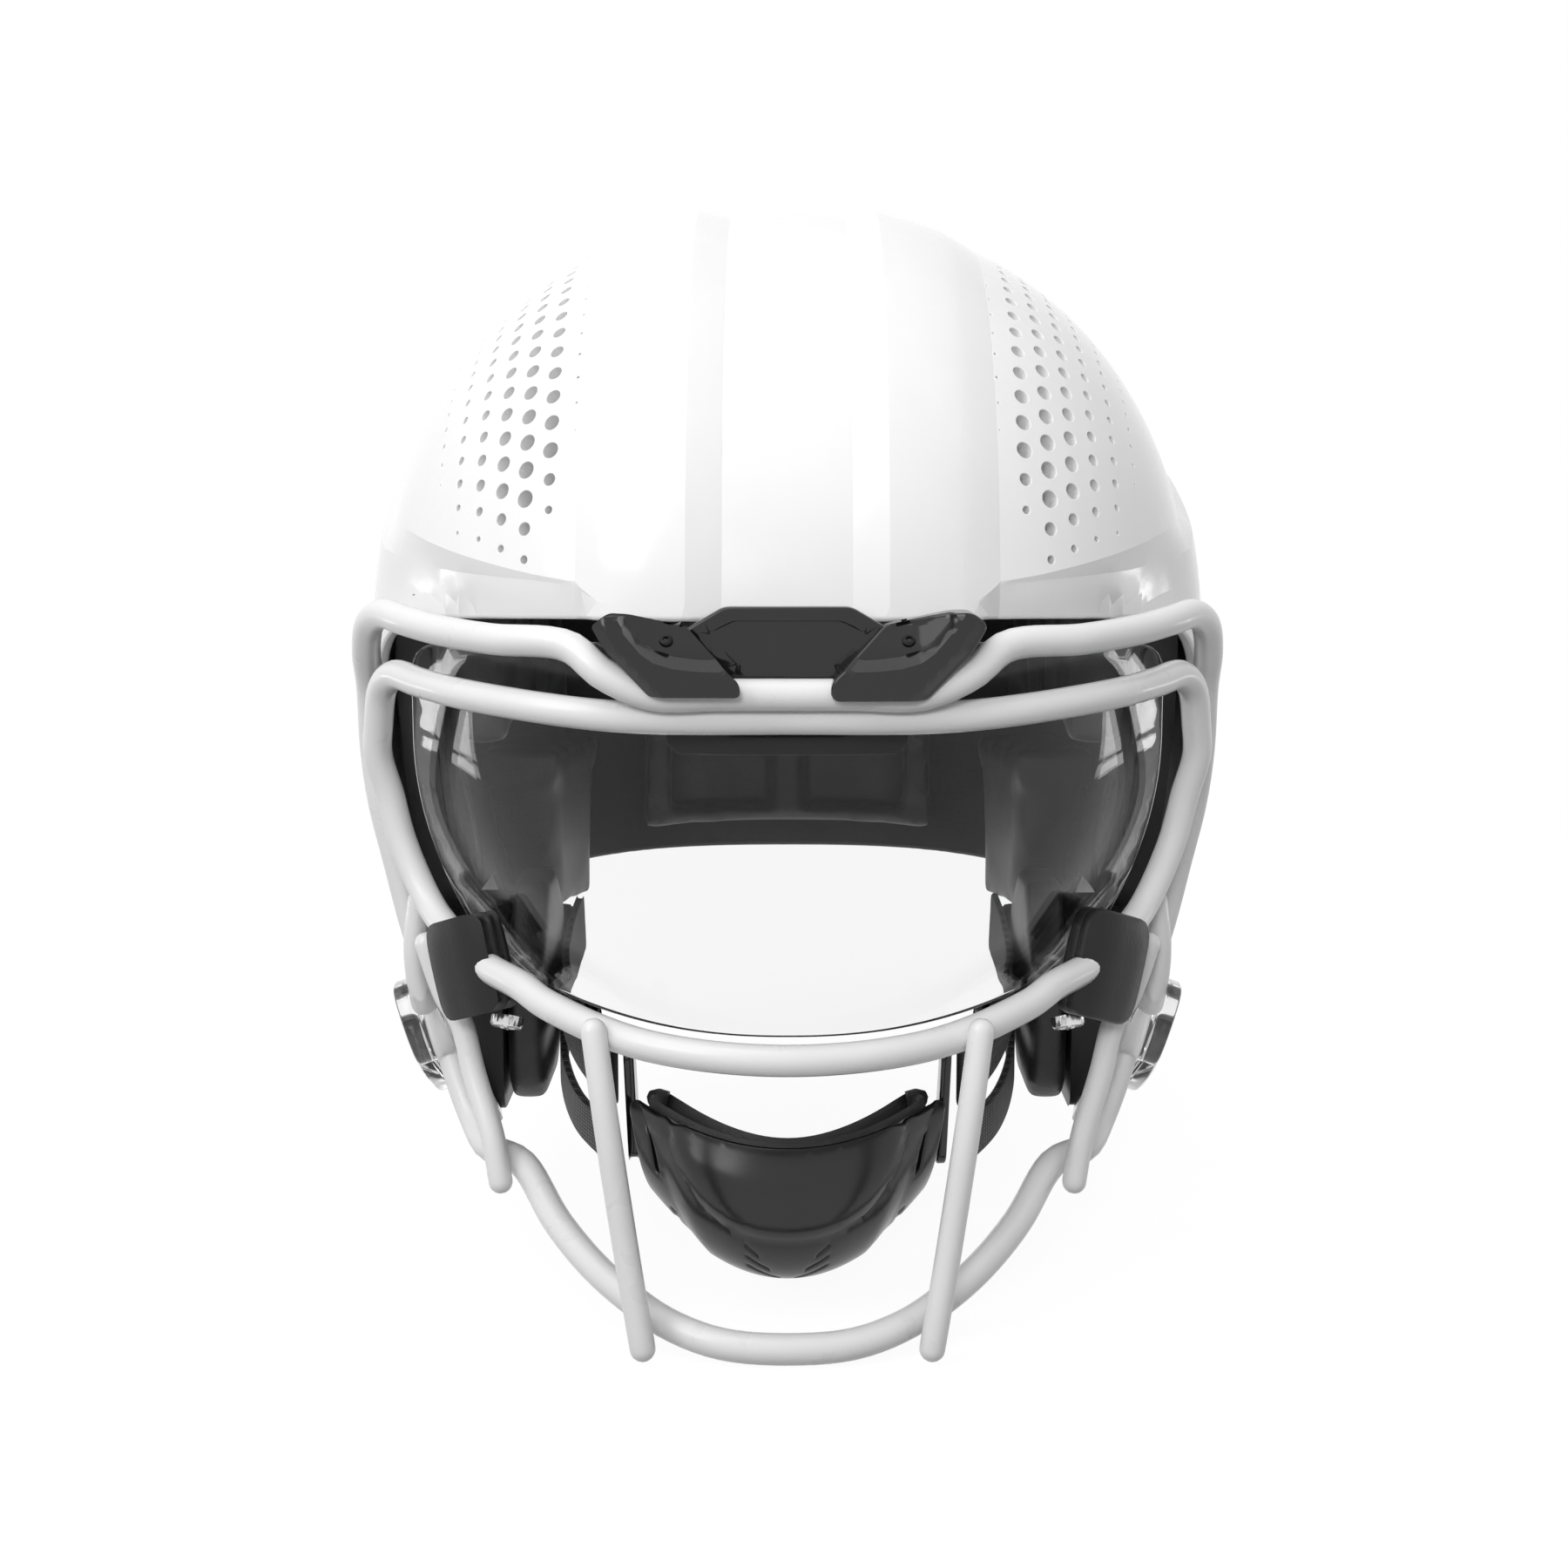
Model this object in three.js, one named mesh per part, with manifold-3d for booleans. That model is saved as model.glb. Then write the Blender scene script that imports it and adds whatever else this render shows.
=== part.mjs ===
// American football helmet with facemask, clear visor and chin strap.
// Millimetres, +Z up, the wearer looks along -Y, +X is the wearer's left.
// The origin is the centre of the helmet's footprint, at the height of its lowest bar.
import * as THREE from 'three';
import { mergeVertices } from 'three/addons/utils/BufferGeometryUtils.js';
import Module from 'manifold-3d';

const wasm = await Module();
wasm.setup();

// ---- driving dimensions ------------------------------------------------------------------
const HEAD_SHIFT_Y = 3.95; // from the widest section of the dome to the footprint's centre

const DOME = {
  centreZ: 168, // height of the widest section
  halfWidth: 121,
  front: 138,
  back: 150,
  height: 130,
  planPower: 2.5, // superellipse seen from above
  crownPower: 2.2, // superellipse seen from the side
  jawTaper: 205, // how slowly the sides close in below the widest section
  napeTaper: 170, // the same for the back
};
const BAND = { channel: 16.4, ridge: 25.5, shoulder: 44.4, foot: 53.8, ridgeRise: 3, shoulderRise: 1.8 };
const FLARE = { rise: 3, top: 222, full: 205, fade: 150, none: 100 };

const SHELL = { outer: 0, inner: 3.2 };
const REFLEX = { outer: 4.2, inner: 13.6 };
const ARCH = { outer: 14.6, inner: 16.9 };
const LINER_OUTER = 18.6;
const STOCK = 150; // half the length of the blocks that the shells are cut with

const EAR = { y: -5, z: 112, halfLength: 15, halfHeight: 19 };

const BAR_RADIUS = 4; // horizontal bars, coated
const UPRIGHT_RADIUS = 3.3; // vertical bars, coated
const MASK_AXIS = { y: -150, z: 168.7 }; // the top bar's dip, held by the two brow clips
const DIP_HALF_LENGTH = 33;

const VISOR = {
  frontY: -149, topY: -138.5, edgeY: -70, halfWidth: 108, power: 2.4, thickness: 2.2,
  leanStart: 100, leanEnd: 160, tuckStart: 150, tuckRate: 0.0055,
  lowZ: 83, lowRise: 5, middleTop: 159, sideTop: 179, cornerDrop: 5, reach: 0.97,
};
const VISOR_TRIM = { halfWidth: 30, z: [153, 158], depths: [0.5, 2.6] };
const VISOR_CLAMP = {
  x: 86, y: -101, z: 89.6, halfWidth: 9.5, halfHeight: 13.5, depth: 6.5, radius: 4,
  tilt: THREE.MathUtils.degToRad(18), turn: THREE.MathUtils.degToRad(42),
};
const VISOR_SCREW = {
  x: 77.2, y: -94.2, z: 73.6, radius: 4.6, height: 3.4,
  tilt: THREE.MathUtils.degToRad(-24), turn: THREE.MathUtils.degToRad(18),
};
const STRAP_AXIS = { y: 12, z: 74 }; // snaps inside the jaw flaps
const STRAP_PLANE_X = 68.4;
const CUP = {
  topHalfWidth: 43, lowHalfWidth: 30, sweep: 26, sideRise: 17, rimRise: 8, thickness: 3.4,
  padNear: 3.9, padFar: 10.5,
};
const SIDE_MOUNT = { x: 100.8, y: -46, z: 60, tilt: THREE.MathUtils.degToRad(20) };
// The way the posts leave the side clips as the mask swings, measured up from straight back.
const RELEASE_ANGLE = Math.atan2(SIDE_MOUNT.y - MASK_AXIS.y, MASK_AXIS.z - SIDE_MOUNT.z);

const COLOURS = {
  shell: [0xf2f2f2, 0.18, 0.0],
  bars: [0xededed, 0.3, 0.0],
  foam: [0x2b2b2b, 0.9, 0.0],
  arch: [0x8d8d8d, 0.5, 0.0],
  blackGloss: [0x0b0b0b, 0.15, 0.0],
  blackMatte: [0x1c1c1c, 0.6, 0.0],
  clear: [0xdfe7ea, 0.05, 0.0],
  steel: [0xc9c9c9, 0.2, 1.0],
  webbing: [0x121212, 0.85, 0.0],
};

const helmet = new THREE.Group();
helmet.position.set(0, HEAD_SHIFT_Y, 0);

// ---- small helpers -----------------------------------------------------------------------
const { lerp, smoothstep, degToRad } = THREE.MathUtils;
const SIDES = [['left', 1], ['right', -1]];

function add(name, geometry, colour, parent = helmet) {
  const [color, roughness, metalness] = COLOURS[colour];
  const mesh = new THREE.Mesh(geometry, new THREE.MeshStandardMaterial({ color, roughness, metalness }));
  mesh.name = name;
  parent.add(mesh);
  return mesh;
}

function signedVolume(positions, index) {
  const corner = [new THREE.Vector3(), new THREE.Vector3(), new THREE.Vector3()];
  let volume = 0;
  for (let i = 0; i < index.length; i += 3) {
    corner.forEach((point, k) => point.fromArray(positions, 3 * index[i + k]));
    volume += corner[0].dot(corner[1].cross(corner[2])) / 6;
  }
  return volume;
}

// A closed geometry from vertices and triangles, turned so that its faces point outwards.
function solidFrom(positions, index) {
  if (signedVolume(positions, index) < 0) {
    for (let i = 0; i < index.length; i += 3) {
      [index[i], index[i + 1]] = [index[i + 1], index[i]];
    }
  }
  const geometry = new THREE.BufferGeometry();
  geometry.setAttribute('position', new THREE.Float32BufferAttribute(positions, 3));
  geometry.setIndex(index);
  geometry.computeVertexNormals();
  return geometry;
}

// The same faces with shared corners joined.
function bareMesh(geometry) {
  const bare = geometry.clone();
  bare.deleteAttribute('normal');
  bare.deleteAttribute('uv');
  return mergeVertices(bare, 1e-4);
}

// The same closed body, turned so that its faces point outwards.
function faced(geometry) {
  const merged = bareMesh(geometry);
  return solidFrom(Array.from(merged.attributes.position.array), Array.from(merged.index.array));
}

function toManifold(geometry) {
  const merged = bareMesh(geometry);
  return new wasm.Manifold(new wasm.Mesh({
    numProp: 3,
    vertProperties: new Float32Array(merged.attributes.position.array),
    triVerts: new Uint32Array(merged.index.array),
  }));
}

function fromManifold(solid) {
  const mesh = solid.getMesh();
  return solidFrom(Array.from(mesh.vertProperties), Array.from(mesh.triVerts));
}

function cut(geometry, ...tools) {
  const solid = tools.reduce((left, tool) => left.subtract(toManifold(tool)), toManifold(geometry));
  return fromManifold(solid);
}

function common(geometry, tool) {
  return fromManifold(toManifold(geometry).intersect(toManifold(tool)));
}

function outline(points) {
  return new THREE.Shape(points.map(([a, b]) => new THREE.Vector2(a, b)));
}

// A flat outline given as (y, z) pairs, made thick along X from x0 to x1.
function prismAlongX(shape, x0, x1) {
  const settings = { depth: x1 - x0, bevelEnabled: false, curveSegments: 4 };
  const geometry = new THREE.ExtrudeGeometry(shape, settings);
  geometry.applyMatrix4(new THREE.Matrix4().set(0, 0, 1, x0, 1, 0, 0, 0, 0, 1, 0, 0, 0, 0, 0, 1));
  return geometry;
}

// A flat outline given as (x, z) pairs, made thick along Y from y0 to y1.
function prismAlongY(shape, y0, y1) {
  const settings = { depth: y1 - y0, bevelEnabled: false, curveSegments: 4 };
  const geometry = new THREE.ExtrudeGeometry(shape, settings);
  geometry.applyMatrix4(new THREE.Matrix4().set(1, 0, 0, 0, 0, 0, -1, y1, 0, 1, 0, 0, 0, 0, 0, 1));
  return geometry;
}

// A turned piece about +Y from (radius, height) pairs that start and end on the axis.
function turned(profile, segments) {
  const points = profile.map(([radius, height]) => new THREE.Vector2(radius, height));
  const merged = bareMesh(new THREE.LatheGeometry(points, segments));
  const index = [];
  for (let i = 0; i < merged.index.count; i += 3) {
    const [a, b, c] = [0, 1, 2].map((k) => merged.index.getX(i + k));
    if (a !== b && b !== c && c !== a) index.push(a, b, c);
  }
  return solidFrom(Array.from(merged.attributes.position.array), index);
}

function turnedAlongX(profile, segments) {
  return turned(profile, segments).rotateZ(-Math.PI / 2);
}

// A closed plate between two surfaces over the same (u, v) grid.
function plateBetween(surfaceA, surfaceB, columns, rows) {
  const positions = [];
  const index = [];
  for (const surface of [surfaceA, surfaceB]) {
    for (let j = 0; j <= rows; j++) {
      for (let i = 0; i <= columns; i++) {
        positions.push(...surface(i / columns, j / rows).toArray());
      }
    }
  }
  const layer = (columns + 1) * (rows + 1);
  const at = (i, j, k) => k * layer + j * (columns + 1) + i;
  const quad = (a, b, c, d) => index.push(a, b, c, a, c, d);
  for (let j = 0; j < rows; j++) {
    for (let i = 0; i < columns; i++) {
      quad(at(i, j, 0), at(i + 1, j, 0), at(i + 1, j + 1, 0), at(i, j + 1, 0));
      quad(at(i, j, 1), at(i, j + 1, 1), at(i + 1, j + 1, 1), at(i + 1, j, 1));
    }
  }
  for (let i = 0; i < columns; i++) {
    quad(at(i, 0, 1), at(i + 1, 0, 1), at(i + 1, 0, 0), at(i, 0, 0));
    quad(at(i, rows, 0), at(i + 1, rows, 0), at(i + 1, rows, 1), at(i, rows, 1));
  }
  for (let j = 0; j < rows; j++) {
    quad(at(0, j, 0), at(0, j + 1, 0), at(0, j + 1, 1), at(0, j, 1));
    quad(at(columns, j, 1), at(columns, j + 1, 1), at(columns, j + 1, 0), at(columns, j, 0));
  }
  return solidFrom(positions, index);
}

// The point of a surface moved by a depth along its own normal.
function offsetPoint(surface, u, v, depth) {
  const step = 1e-3;
  const alongU = surface(u + step, v).sub(surface(u - step, v));
  const alongV = surface(u, v + step).sub(surface(u, v - step));
  const normal = alongU.cross(alongV).normalize();
  return surface(u, v).addScaledVector(normal, depth);
}

// ---- bent bars ---------------------------------------------------------------------------
function vectors(points) {
  return points.map(([x, y, z]) => new THREE.Vector3(x, y, z));
}

function mirrored(points) {
  return points.map(([x, y, z]) => [-x, y, z]);
}

function onSide(side, points) {
  return side > 0 ? points : mirrored(points);
}

// A closed ring of round bar.
function ringOfBar(halfPoints, radius, steps, sides) {
  const otherHalf = mirrored(halfPoints).reverse().slice(1, -1);
  const curve = new THREE.CatmullRomCurve3(vectors([...halfPoints, ...otherHalf]), true, 'centripetal');
  const frames = curve.computeFrenetFrames(steps, true);
  const positions = [];
  const index = [];
  for (let i = 0; i < steps; i++) {
    const centre = curve.getPointAt(i / steps);
    for (let k = 0; k < sides; k++) {
      const turn = (2 * Math.PI * k) / sides;
      const point = centre.clone()
        .addScaledVector(frames.normals[i], radius * Math.cos(turn))
        .addScaledVector(frames.binormals[i], radius * Math.sin(turn));
      positions.push(...point.toArray());
      const here = i * sides;
      const next = ((i + 1) % steps) * sides;
      const side = (k + 1) % sides;
      index.push(here + k, next + k, next + side, here + k, next + side, here + side);
    }
  }
  return solidFrom(positions, index);
}

// A length of round bar with plain ends.
function lengthOfBar(points, radius, steps, sides) {
  const section = new THREE.Shape(new THREE.Path().absarc(0, 0, radius, 0, 2 * Math.PI).getPoints(sides / 4));
  const extrudePath = new THREE.CatmullRomCurve3(vectors(points), false, 'centripetal');
  return new THREE.ExtrudeGeometry(section, { steps, extrudePath, curveSegments: sides });
}

// ---- the dome's surface ------------------------------------------------------------------
function bandRise(x) {
  const stops = [[0, 0], [BAND.channel, 0], [BAND.ridge, BAND.ridgeRise],
    [BAND.shoulder, BAND.shoulderRise], [BAND.foot, 0], [1000, 0]];
  const k = stops.findIndex(([limit]) => Math.abs(x) < limit);
  const [[x0, rise0], [x1, rise1]] = [stops[k - 1], stops[k]];
  return lerp(rise0, rise1, (Math.abs(x) - x0) / (x1 - x0));
}

function flareRise(z) {
  return FLARE.rise * (1 - smoothstep(z, FLARE.full, FLARE.top)) * smoothstep(z, FLARE.none, FLARE.fade);
}

// How far the relief of the outer shell stands out of the plain dome. The band fades at the nape.
function relief(x, y, z) {
  const napeFade = y > 0 ? smoothstep(z, 110, 170) : 1;
  return bandRise(x) * napeFade + flareRise(z);
}

// Negative inside the dome that lies a depth below the plain surface, positive outside.
function domeValue(x, y, z, depth) {
  const rise = z - DOME.centreZ;
  let across = 1;
  let along = 1;
  if (rise >= 0) {
    const left = Math.max(0, 1 - (rise / (DOME.height - depth)) ** DOME.crownPower);
    across = left ** (1 / DOME.crownPower);
    along = across;
  } else {
    across = Math.sqrt(Math.max(0, 1 - (rise / DOME.jawTaper) ** 2));
    along = y < 0 ? 1 : Math.sqrt(Math.max(0, 1 - (rise / DOME.napeTaper) ** 2));
  }
  const halfWidth = (DOME.halfWidth - depth) * across;
  const halfLength = ((y < 0 ? DOME.front : DOME.back) - depth) * along;
  if (halfWidth <= 0 || halfLength <= 0) return 1;
  return (Math.abs(x) / halfWidth) ** DOME.planPower + (Math.abs(y) / halfLength) ** DOME.planPower - 1;
}

// Where a ray from inside the dome leaves it.
function domeHit(origin, direction, depth, withRelief) {
  let near = 0;
  let far = 260;
  const point = new THREE.Vector3();
  for (let i = 0; i < 40; i++) {
    const middle = (near + far) / 2;
    point.copy(origin).addScaledVector(direction, middle);
    const raised = withRelief ? relief(point.x, point.y, point.z) : 0;
    if (domeValue(point.x, point.y, point.z, depth - raised) < 0) near = middle;
    else far = middle;
  }
  return point;
}

// The angle runs from the brow (0) over the crown (90) to the back (180), at a given x.
function overTheTop(x, degrees, depth, withRelief = false) {
  const angle = degToRad(degrees);
  const direction = new THREE.Vector3(0, -Math.cos(angle), Math.sin(angle));
  return domeHit(new THREE.Vector3(x, 0, DOME.centreZ), direction, depth, withRelief);
}

function onTheSide(side, y, z, depth) {
  return domeHit(new THREE.Vector3(0, y, z), new THREE.Vector3(side, 0, 0), depth, false);
}

// The whole dome as a closed solid: sections across X, closed by a point at each side.
function domeSolid(depth, withRelief, innerStations, outerFractions, turns) {
  const pole = DOME.halfWidth - depth + (withRelief ? flareRise(DOME.centreZ) : 0);
  const first = innerStations.at(-1);
  const half = [...innerStations, ...outerFractions.map((share) => lerp(first, pole, share))];
  const stations = [...half.slice(1).map((x) => -x).reverse(), ...half];
  const positions = [];
  const index = [];
  for (const x of stations) {
    for (let k = 0; k < turns; k++) {
      positions.push(...overTheTop(x, (360 * k) / turns, depth, withRelief).toArray());
    }
  }
  const ring = (i, k) => i * turns + (k % turns);
  for (let i = 0; i + 1 < stations.length; i++) {
    for (let k = 0; k < turns; k++) {
      index.push(ring(i, k), ring(i + 1, k), ring(i + 1, k + 1));
      index.push(ring(i, k), ring(i + 1, k + 1), ring(i, k + 1));
    }
  }
  const leftPole = positions.length / 3;
  positions.push(-pole, 0, DOME.centreZ, pole, 0, DOME.centreZ);
  const last = stations.length - 1;
  for (let k = 0; k < turns; k++) {
    index.push(leftPole, ring(0, k), ring(0, k + 1));
    index.push(leftPole + 1, ring(last, k + 1), ring(last, k));
  }
  return solidFrom(positions, index);
}

// ---- shells ------------------------------------------------------------------------------
// Side view of what the shell keeps: brow, face opening, jaw flap, neck edge.
function shellSideView() {
  const shape = new THREE.Shape();
  shape.moveTo(-200, 187);
  shape.lineTo(-136, 187);
  shape.lineTo(-84, 184);
  shape.quadraticCurveTo(-52, 180, -47, 150);
  shape.quadraticCurveTo(-43, 118, -48, 98);
  shape.quadraticCurveTo(-52, 74, -66, 42);
  shape.quadraticCurveTo(-69, 34, -60, 34);
  shape.lineTo(-25, 34);
  shape.quadraticCurveTo(10, 38, 32, 60);
  shape.quadraticCurveTo(52, 80, 90, 82);
  shape.lineTo(200, 86);
  shape.lineTo(200, 340);
  shape.lineTo(-200, 340);
  return shape;
}

function archSideView() {
  const shape = new THREE.Shape();
  shape.moveTo(-200, 192);
  shape.lineTo(-80, 189);
  shape.quadraticCurveTo(-46, 184, -41, 152);
  shape.quadraticCurveTo(-38, 122, -40, 96);
  shape.lineTo(22, 92);
  shape.lineTo(27, 78);
  shape.lineTo(90, 85);
  shape.lineTo(200, 92);
  shape.lineTo(200, 340);
  shape.lineTo(-200, 340);
  return shape;
}

function earHole() {
  const ellipse = new THREE.Path().absellipse(EAR.y, EAR.z, EAR.halfLength, EAR.halfHeight, 0, 2 * Math.PI);
  return prismAlongX(new THREE.Shape(ellipse.getPoints(6).slice(0, -1)), -STOCK, STOCK);
}

function hollowDome(layer, withRelief, innerStations, outerFractions, turns) {
  const outside = domeSolid(layer.outer, withRelief, innerStations, outerFractions, turns);
  const inside = domeSolid(layer.inner, withRelief, innerStations, outerFractions, turns);
  return cut(outside, inside);
}

function outerShell() {
  const stations = [0, BAND.channel, BAND.ridge, BAND.shoulder, BAND.foot];
  const fractions = [0.24, 0.47, 0.67, 0.83, 0.94, 0.985];
  const hollow = hollowDome(SHELL, true, stations, fractions, 40);
  return cut(common(hollow, prismAlongX(shellSideView(), -STOCK, STOCK)), earHole());
}

function archShell() {
  const hollow = hollowDome(ARCH, false, [0, 26, 50], [0.32, 0.6, 0.83, 0.96], 30);
  return cut(common(hollow, prismAlongX(archSideView(), -STOCK, STOCK)), earHole());
}

// ---- pads --------------------------------------------------------------------------------
// layer gives the depths of a pad's two faces under the dome's surface, grid its columns and rows.
const liner = (inner) => ({ outer: LINER_OUTER, inner });

// Pads over the top: from and to are degrees round from the brow.
const TOP_PADS = [
  { name: 'reflex_front', halfWidth: 62, from: 9, to: 38, layer: REFLEX, grid: [8, 3] },
  { name: 'reflex_crown', halfWidth: 56, from: 42, to: 118, layer: REFLEX, grid: [7, 8] },
  { name: 'reflex_rear', halfWidth: 60, from: 122, to: 205, layer: REFLEX, grid: [8, 8] },
  { name: 'liner_front', halfWidth: 58, from: 11, to: 36, layer: liner(30), grid: [8, 3] },
  { name: 'liner_crown', halfWidth: 46, from: 44, to: 112, layer: liner(40), grid: [6, 7] },
];
const NAPE_PAD = { halfWidth: 52, low: 94, high: 200, layer: liner(36), grid: [6, 6] };
// Pads on each side: the front and back edges are given as Y at the low and the high end,
// and so is a depth that changes on the way up.
const SIDE_PADS = [
  { name: 'reflex', low: 136, high: 254, front: [-40, -60], back: [92, 56], layer: REFLEX, grid: [8, 6] },
  { name: 'liner', low: 140, high: 232, front: [-44, -44], back: [74, 52], layer: liner(37), grid: [6, 5] },
  {
    name: 'ear_pad', low: 76, high: 134, front: [26, 18], back: [62, 66],
    layer: liner([34, 46]), grid: [4, 4],
  },
];

// A plate whose two faces lie at its layer's depths.
function layered(surfaceAt, { layer, grid }) {
  return plateBetween(surfaceAt(layer.outer), surfaceAt(layer.inner), ...grid);
}

function topPad(pad) {
  return layered((depth) => (u, v) => overTheTop(
    lerp(-pad.halfWidth, pad.halfWidth, u), lerp(pad.from, pad.to, v), depth), pad);
}

function napePad(pad) {
  const back = new THREE.Vector3(0, 1, 0);
  return layered((depth) => (u, v) => domeHit(
    new THREE.Vector3(lerp(-pad.halfWidth, pad.halfWidth, u), 0, lerp(pad.low, pad.high, v)),
    back, depth, false), pad);
}

function sidePad(side, pad) {
  return layered((depth) => (u, v) => {
    const y = lerp(lerp(...pad.front, v), lerp(...pad.back, v), u);
    return onTheSide(side, y, lerp(pad.low, pad.high, v), Array.isArray(depth) ? lerp(...depth, v) : depth);
  }, pad);
}

function addPads() {
  for (const pad of TOP_PADS) {
    add(pad.name, topPad(pad), pad.layer === REFLEX ? 'foam' : 'blackMatte');
  }
  add('liner_rear', napePad(NAPE_PAD), 'blackMatte');
  for (const [name, side] of SIDES) {
    for (const pad of SIDE_PADS) {
      add(`${pad.name}_${name}`, sidePad(side, pad), pad.layer === REFLEX ? 'foam' : 'blackMatte');
    }
  }
}

function roundedRectangle(a0, b0, a1, b1, radius) {
  const shape = new THREE.Shape();
  shape.moveTo(a0 + radius, b0);
  shape.lineTo(a1 - radius, b0);
  shape.absarc(a1 - radius, b0 + radius, radius, -Math.PI / 2, 0);
  shape.lineTo(a1, b1 - radius);
  shape.absarc(a1 - radius, b1 - radius, radius, 0, Math.PI / 2);
  shape.lineTo(a0 + radius, b1);
  shape.absarc(a0 + radius, b1 - radius, radius, Math.PI / 2, Math.PI);
  shape.lineTo(a0, b0 + radius);
  shape.absarc(a0 + radius, b0 + radius, radius, Math.PI, 1.5 * Math.PI);
  return shape;
}

function sided(side, x0, x1) {
  return side > 0 ? [x0, x1] : [-x1, -x0];
}

// The jaw pad is a soft block on a thin plate with a flange, standing off the jaw flap.
const JAW_PLATE = { y: [-62, 1], z: [37, 91], flangeX: 82.8, leastX: 83.8, depth: 4.8 };
const JAW_PAD = {
  sideView: [[-60, 44], [-54, 38], [-22, 38], [-16, 44], [-4, 89], [-11, 94.5], [-20, 102], [-44, 102],
    [-60, 82]],
  innerX: 70.6, outerX: 82.4,
};

function addJawPads() {
  const { y, z, flangeX, leastX, depth } = JAW_PLATE;
  for (const [name, side] of SIDES) {
    const flange = (u, v) => new THREE.Vector3(side * flangeX, lerp(...y, u), lerp(...z, v));
    const againstShell = (u, v) => {
      const hit = onTheSide(side, lerp(...y, u), lerp(...z, v), depth);
      return hit.setX(side * Math.max(Math.abs(hit.x), leastX));
    };
    add(`jaw_plate_${name}`, plateBetween(flange, againstShell, 4, 4), 'blackGloss');
    const cushion = prismAlongX(outline(JAW_PAD.sideView), ...sided(side, JAW_PAD.innerX, JAW_PAD.outerX));
    add(`jaw_pad_${name}`, cushion, 'blackMatte');
  }
}

// ---- brow hardware -----------------------------------------------------------------------
const FRONT_BUMPER = { half: [[15, 172.4], [25, 183.4], [15.5, 189]], y: [-147, -141.4] };
const BROW_CLIP = {
  frontView: [[48.6, 185.6], [26.5, 186.4], [25.7, 182], [17.4, 172.8], [11.8, 171.6], [11.8, 168.8],
    [34.6, 168.8], [46.4, 180.2]],
  y: [-158, -142],
};
const BROW_SCREW = {
  x: 29, z: 179, headRadius: 3.2, shankRadius: 1.5, holeRadius: 1.9, front: -158.6, shoulder: -158.2,
  back: -141.6,
};
const BAR_CLEARANCE = 0.6; // round the top bar in the clips' grooves
const REAR_BUMPER = { halfWidth: 34, from: 188, to: 203, inner: -1.2, outer: -4.4 };

function frontBumper() {
  const { half, y } = FRONT_BUMPER;
  return prismAlongY(outline([...half, ...half.map(([x, z]) => [-x, z]).reverse()]), ...y);
}

// Room for the top bar's dip and, wider, for the two bends beside it as the mask swings.
function swingRoom() {
  const ends = DIP_HALF_LENGTH + 19;
  const groove = BAR_RADIUS + BAR_CLEARANCE;
  const mouth = 15;
  const profile = [[0, -ends], [mouth, -ends], [groove, -DIP_HALF_LENGTH], [groove, DIP_HALF_LENGTH],
    [mouth, ends], [0, ends]];
  return turnedAlongX(profile, 20).translate(0, MASK_AXIS.y, MASK_AXIS.z);
}

function browClip(side) {
  const body = prismAlongY(outline(BROW_CLIP.frontView.map(([x, z]) => [side * x, z])), ...BROW_CLIP.y);
  const { x, z, holeRadius } = BROW_SCREW;
  const screwHole = new THREE.CylinderGeometry(holeRadius, holeRadius, 30, 12)
    .translate(side * x, MASK_AXIS.y, z);
  return cut(body, swingRoom(), screwHole);
}

function browScrew(side) {
  const { x, z, headRadius, shankRadius, front, shoulder, back } = BROW_SCREW;
  const profile = [[0, front], [headRadius, front], [headRadius, shoulder], [shankRadius, shoulder],
    [shankRadius, back], [0, back]];
  return turned(profile, 12).translate(side * x, 0, z);
}

function rearBumper() {
  const { halfWidth, from, to, inner, outer } = REAR_BUMPER;
  const stations = [-halfWidth, -BAND.ridge, -BAND.channel, 0, BAND.channel, BAND.ridge, halfWidth];
  const surface = (depth) => (u, v) => overTheTop(
    stations[Math.round(u * (stations.length - 1))], lerp(from, to, v), depth, true);
  return plateBetween(surface(inner), surface(outer), stations.length - 1, 3);
}

function addBrowAndRear() {
  add('front_bumper', frontBumper(), 'blackGloss');
  add('rear_bumper', rearBumper(), 'blackGloss');
  for (const [name, side] of SIDES) {
    add(`brow_clip_${name}`, browClip(side), 'blackGloss');
    add(`brow_screw_${name}`, browScrew(side), 'steel');
  }
}

// ---- side mounts: a post with a sprung button on the shell, a forked clip on the mask ----
// Heights are measured out from the jaw flap along the post.
const POST = { base: 1, flangeTop: 3, flangeRadius: 8, radius: 4.2, bore: 2.8, floor: 4, top: 11.2 };
const BUTTON = { radius: 2.3, base: 7, top: 13.7 };
const FORK = { base: 3.6, thickness: 7, slotRadius: 5, mouth: 6 };
const GRIP = { from: [-28, -3], to: [-13.5, 18], radius: 4, base: -6, thickness: 15.4 };

function postProfile() {
  const { base, flangeTop, flangeRadius, radius, bore, floor, top } = POST;
  return [[0, floor], [bore, floor], [bore, top], [radius, top], [radius, flangeTop],
    [flangeRadius, flangeTop], [flangeRadius, base], [0, base]];
}

function buttonProfile() {
  return [[0, BUTTON.base], [BUTTON.radius, BUTTON.base], [BUTTON.radius, BUTTON.top], [0, BUTTON.top]];
}

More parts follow.
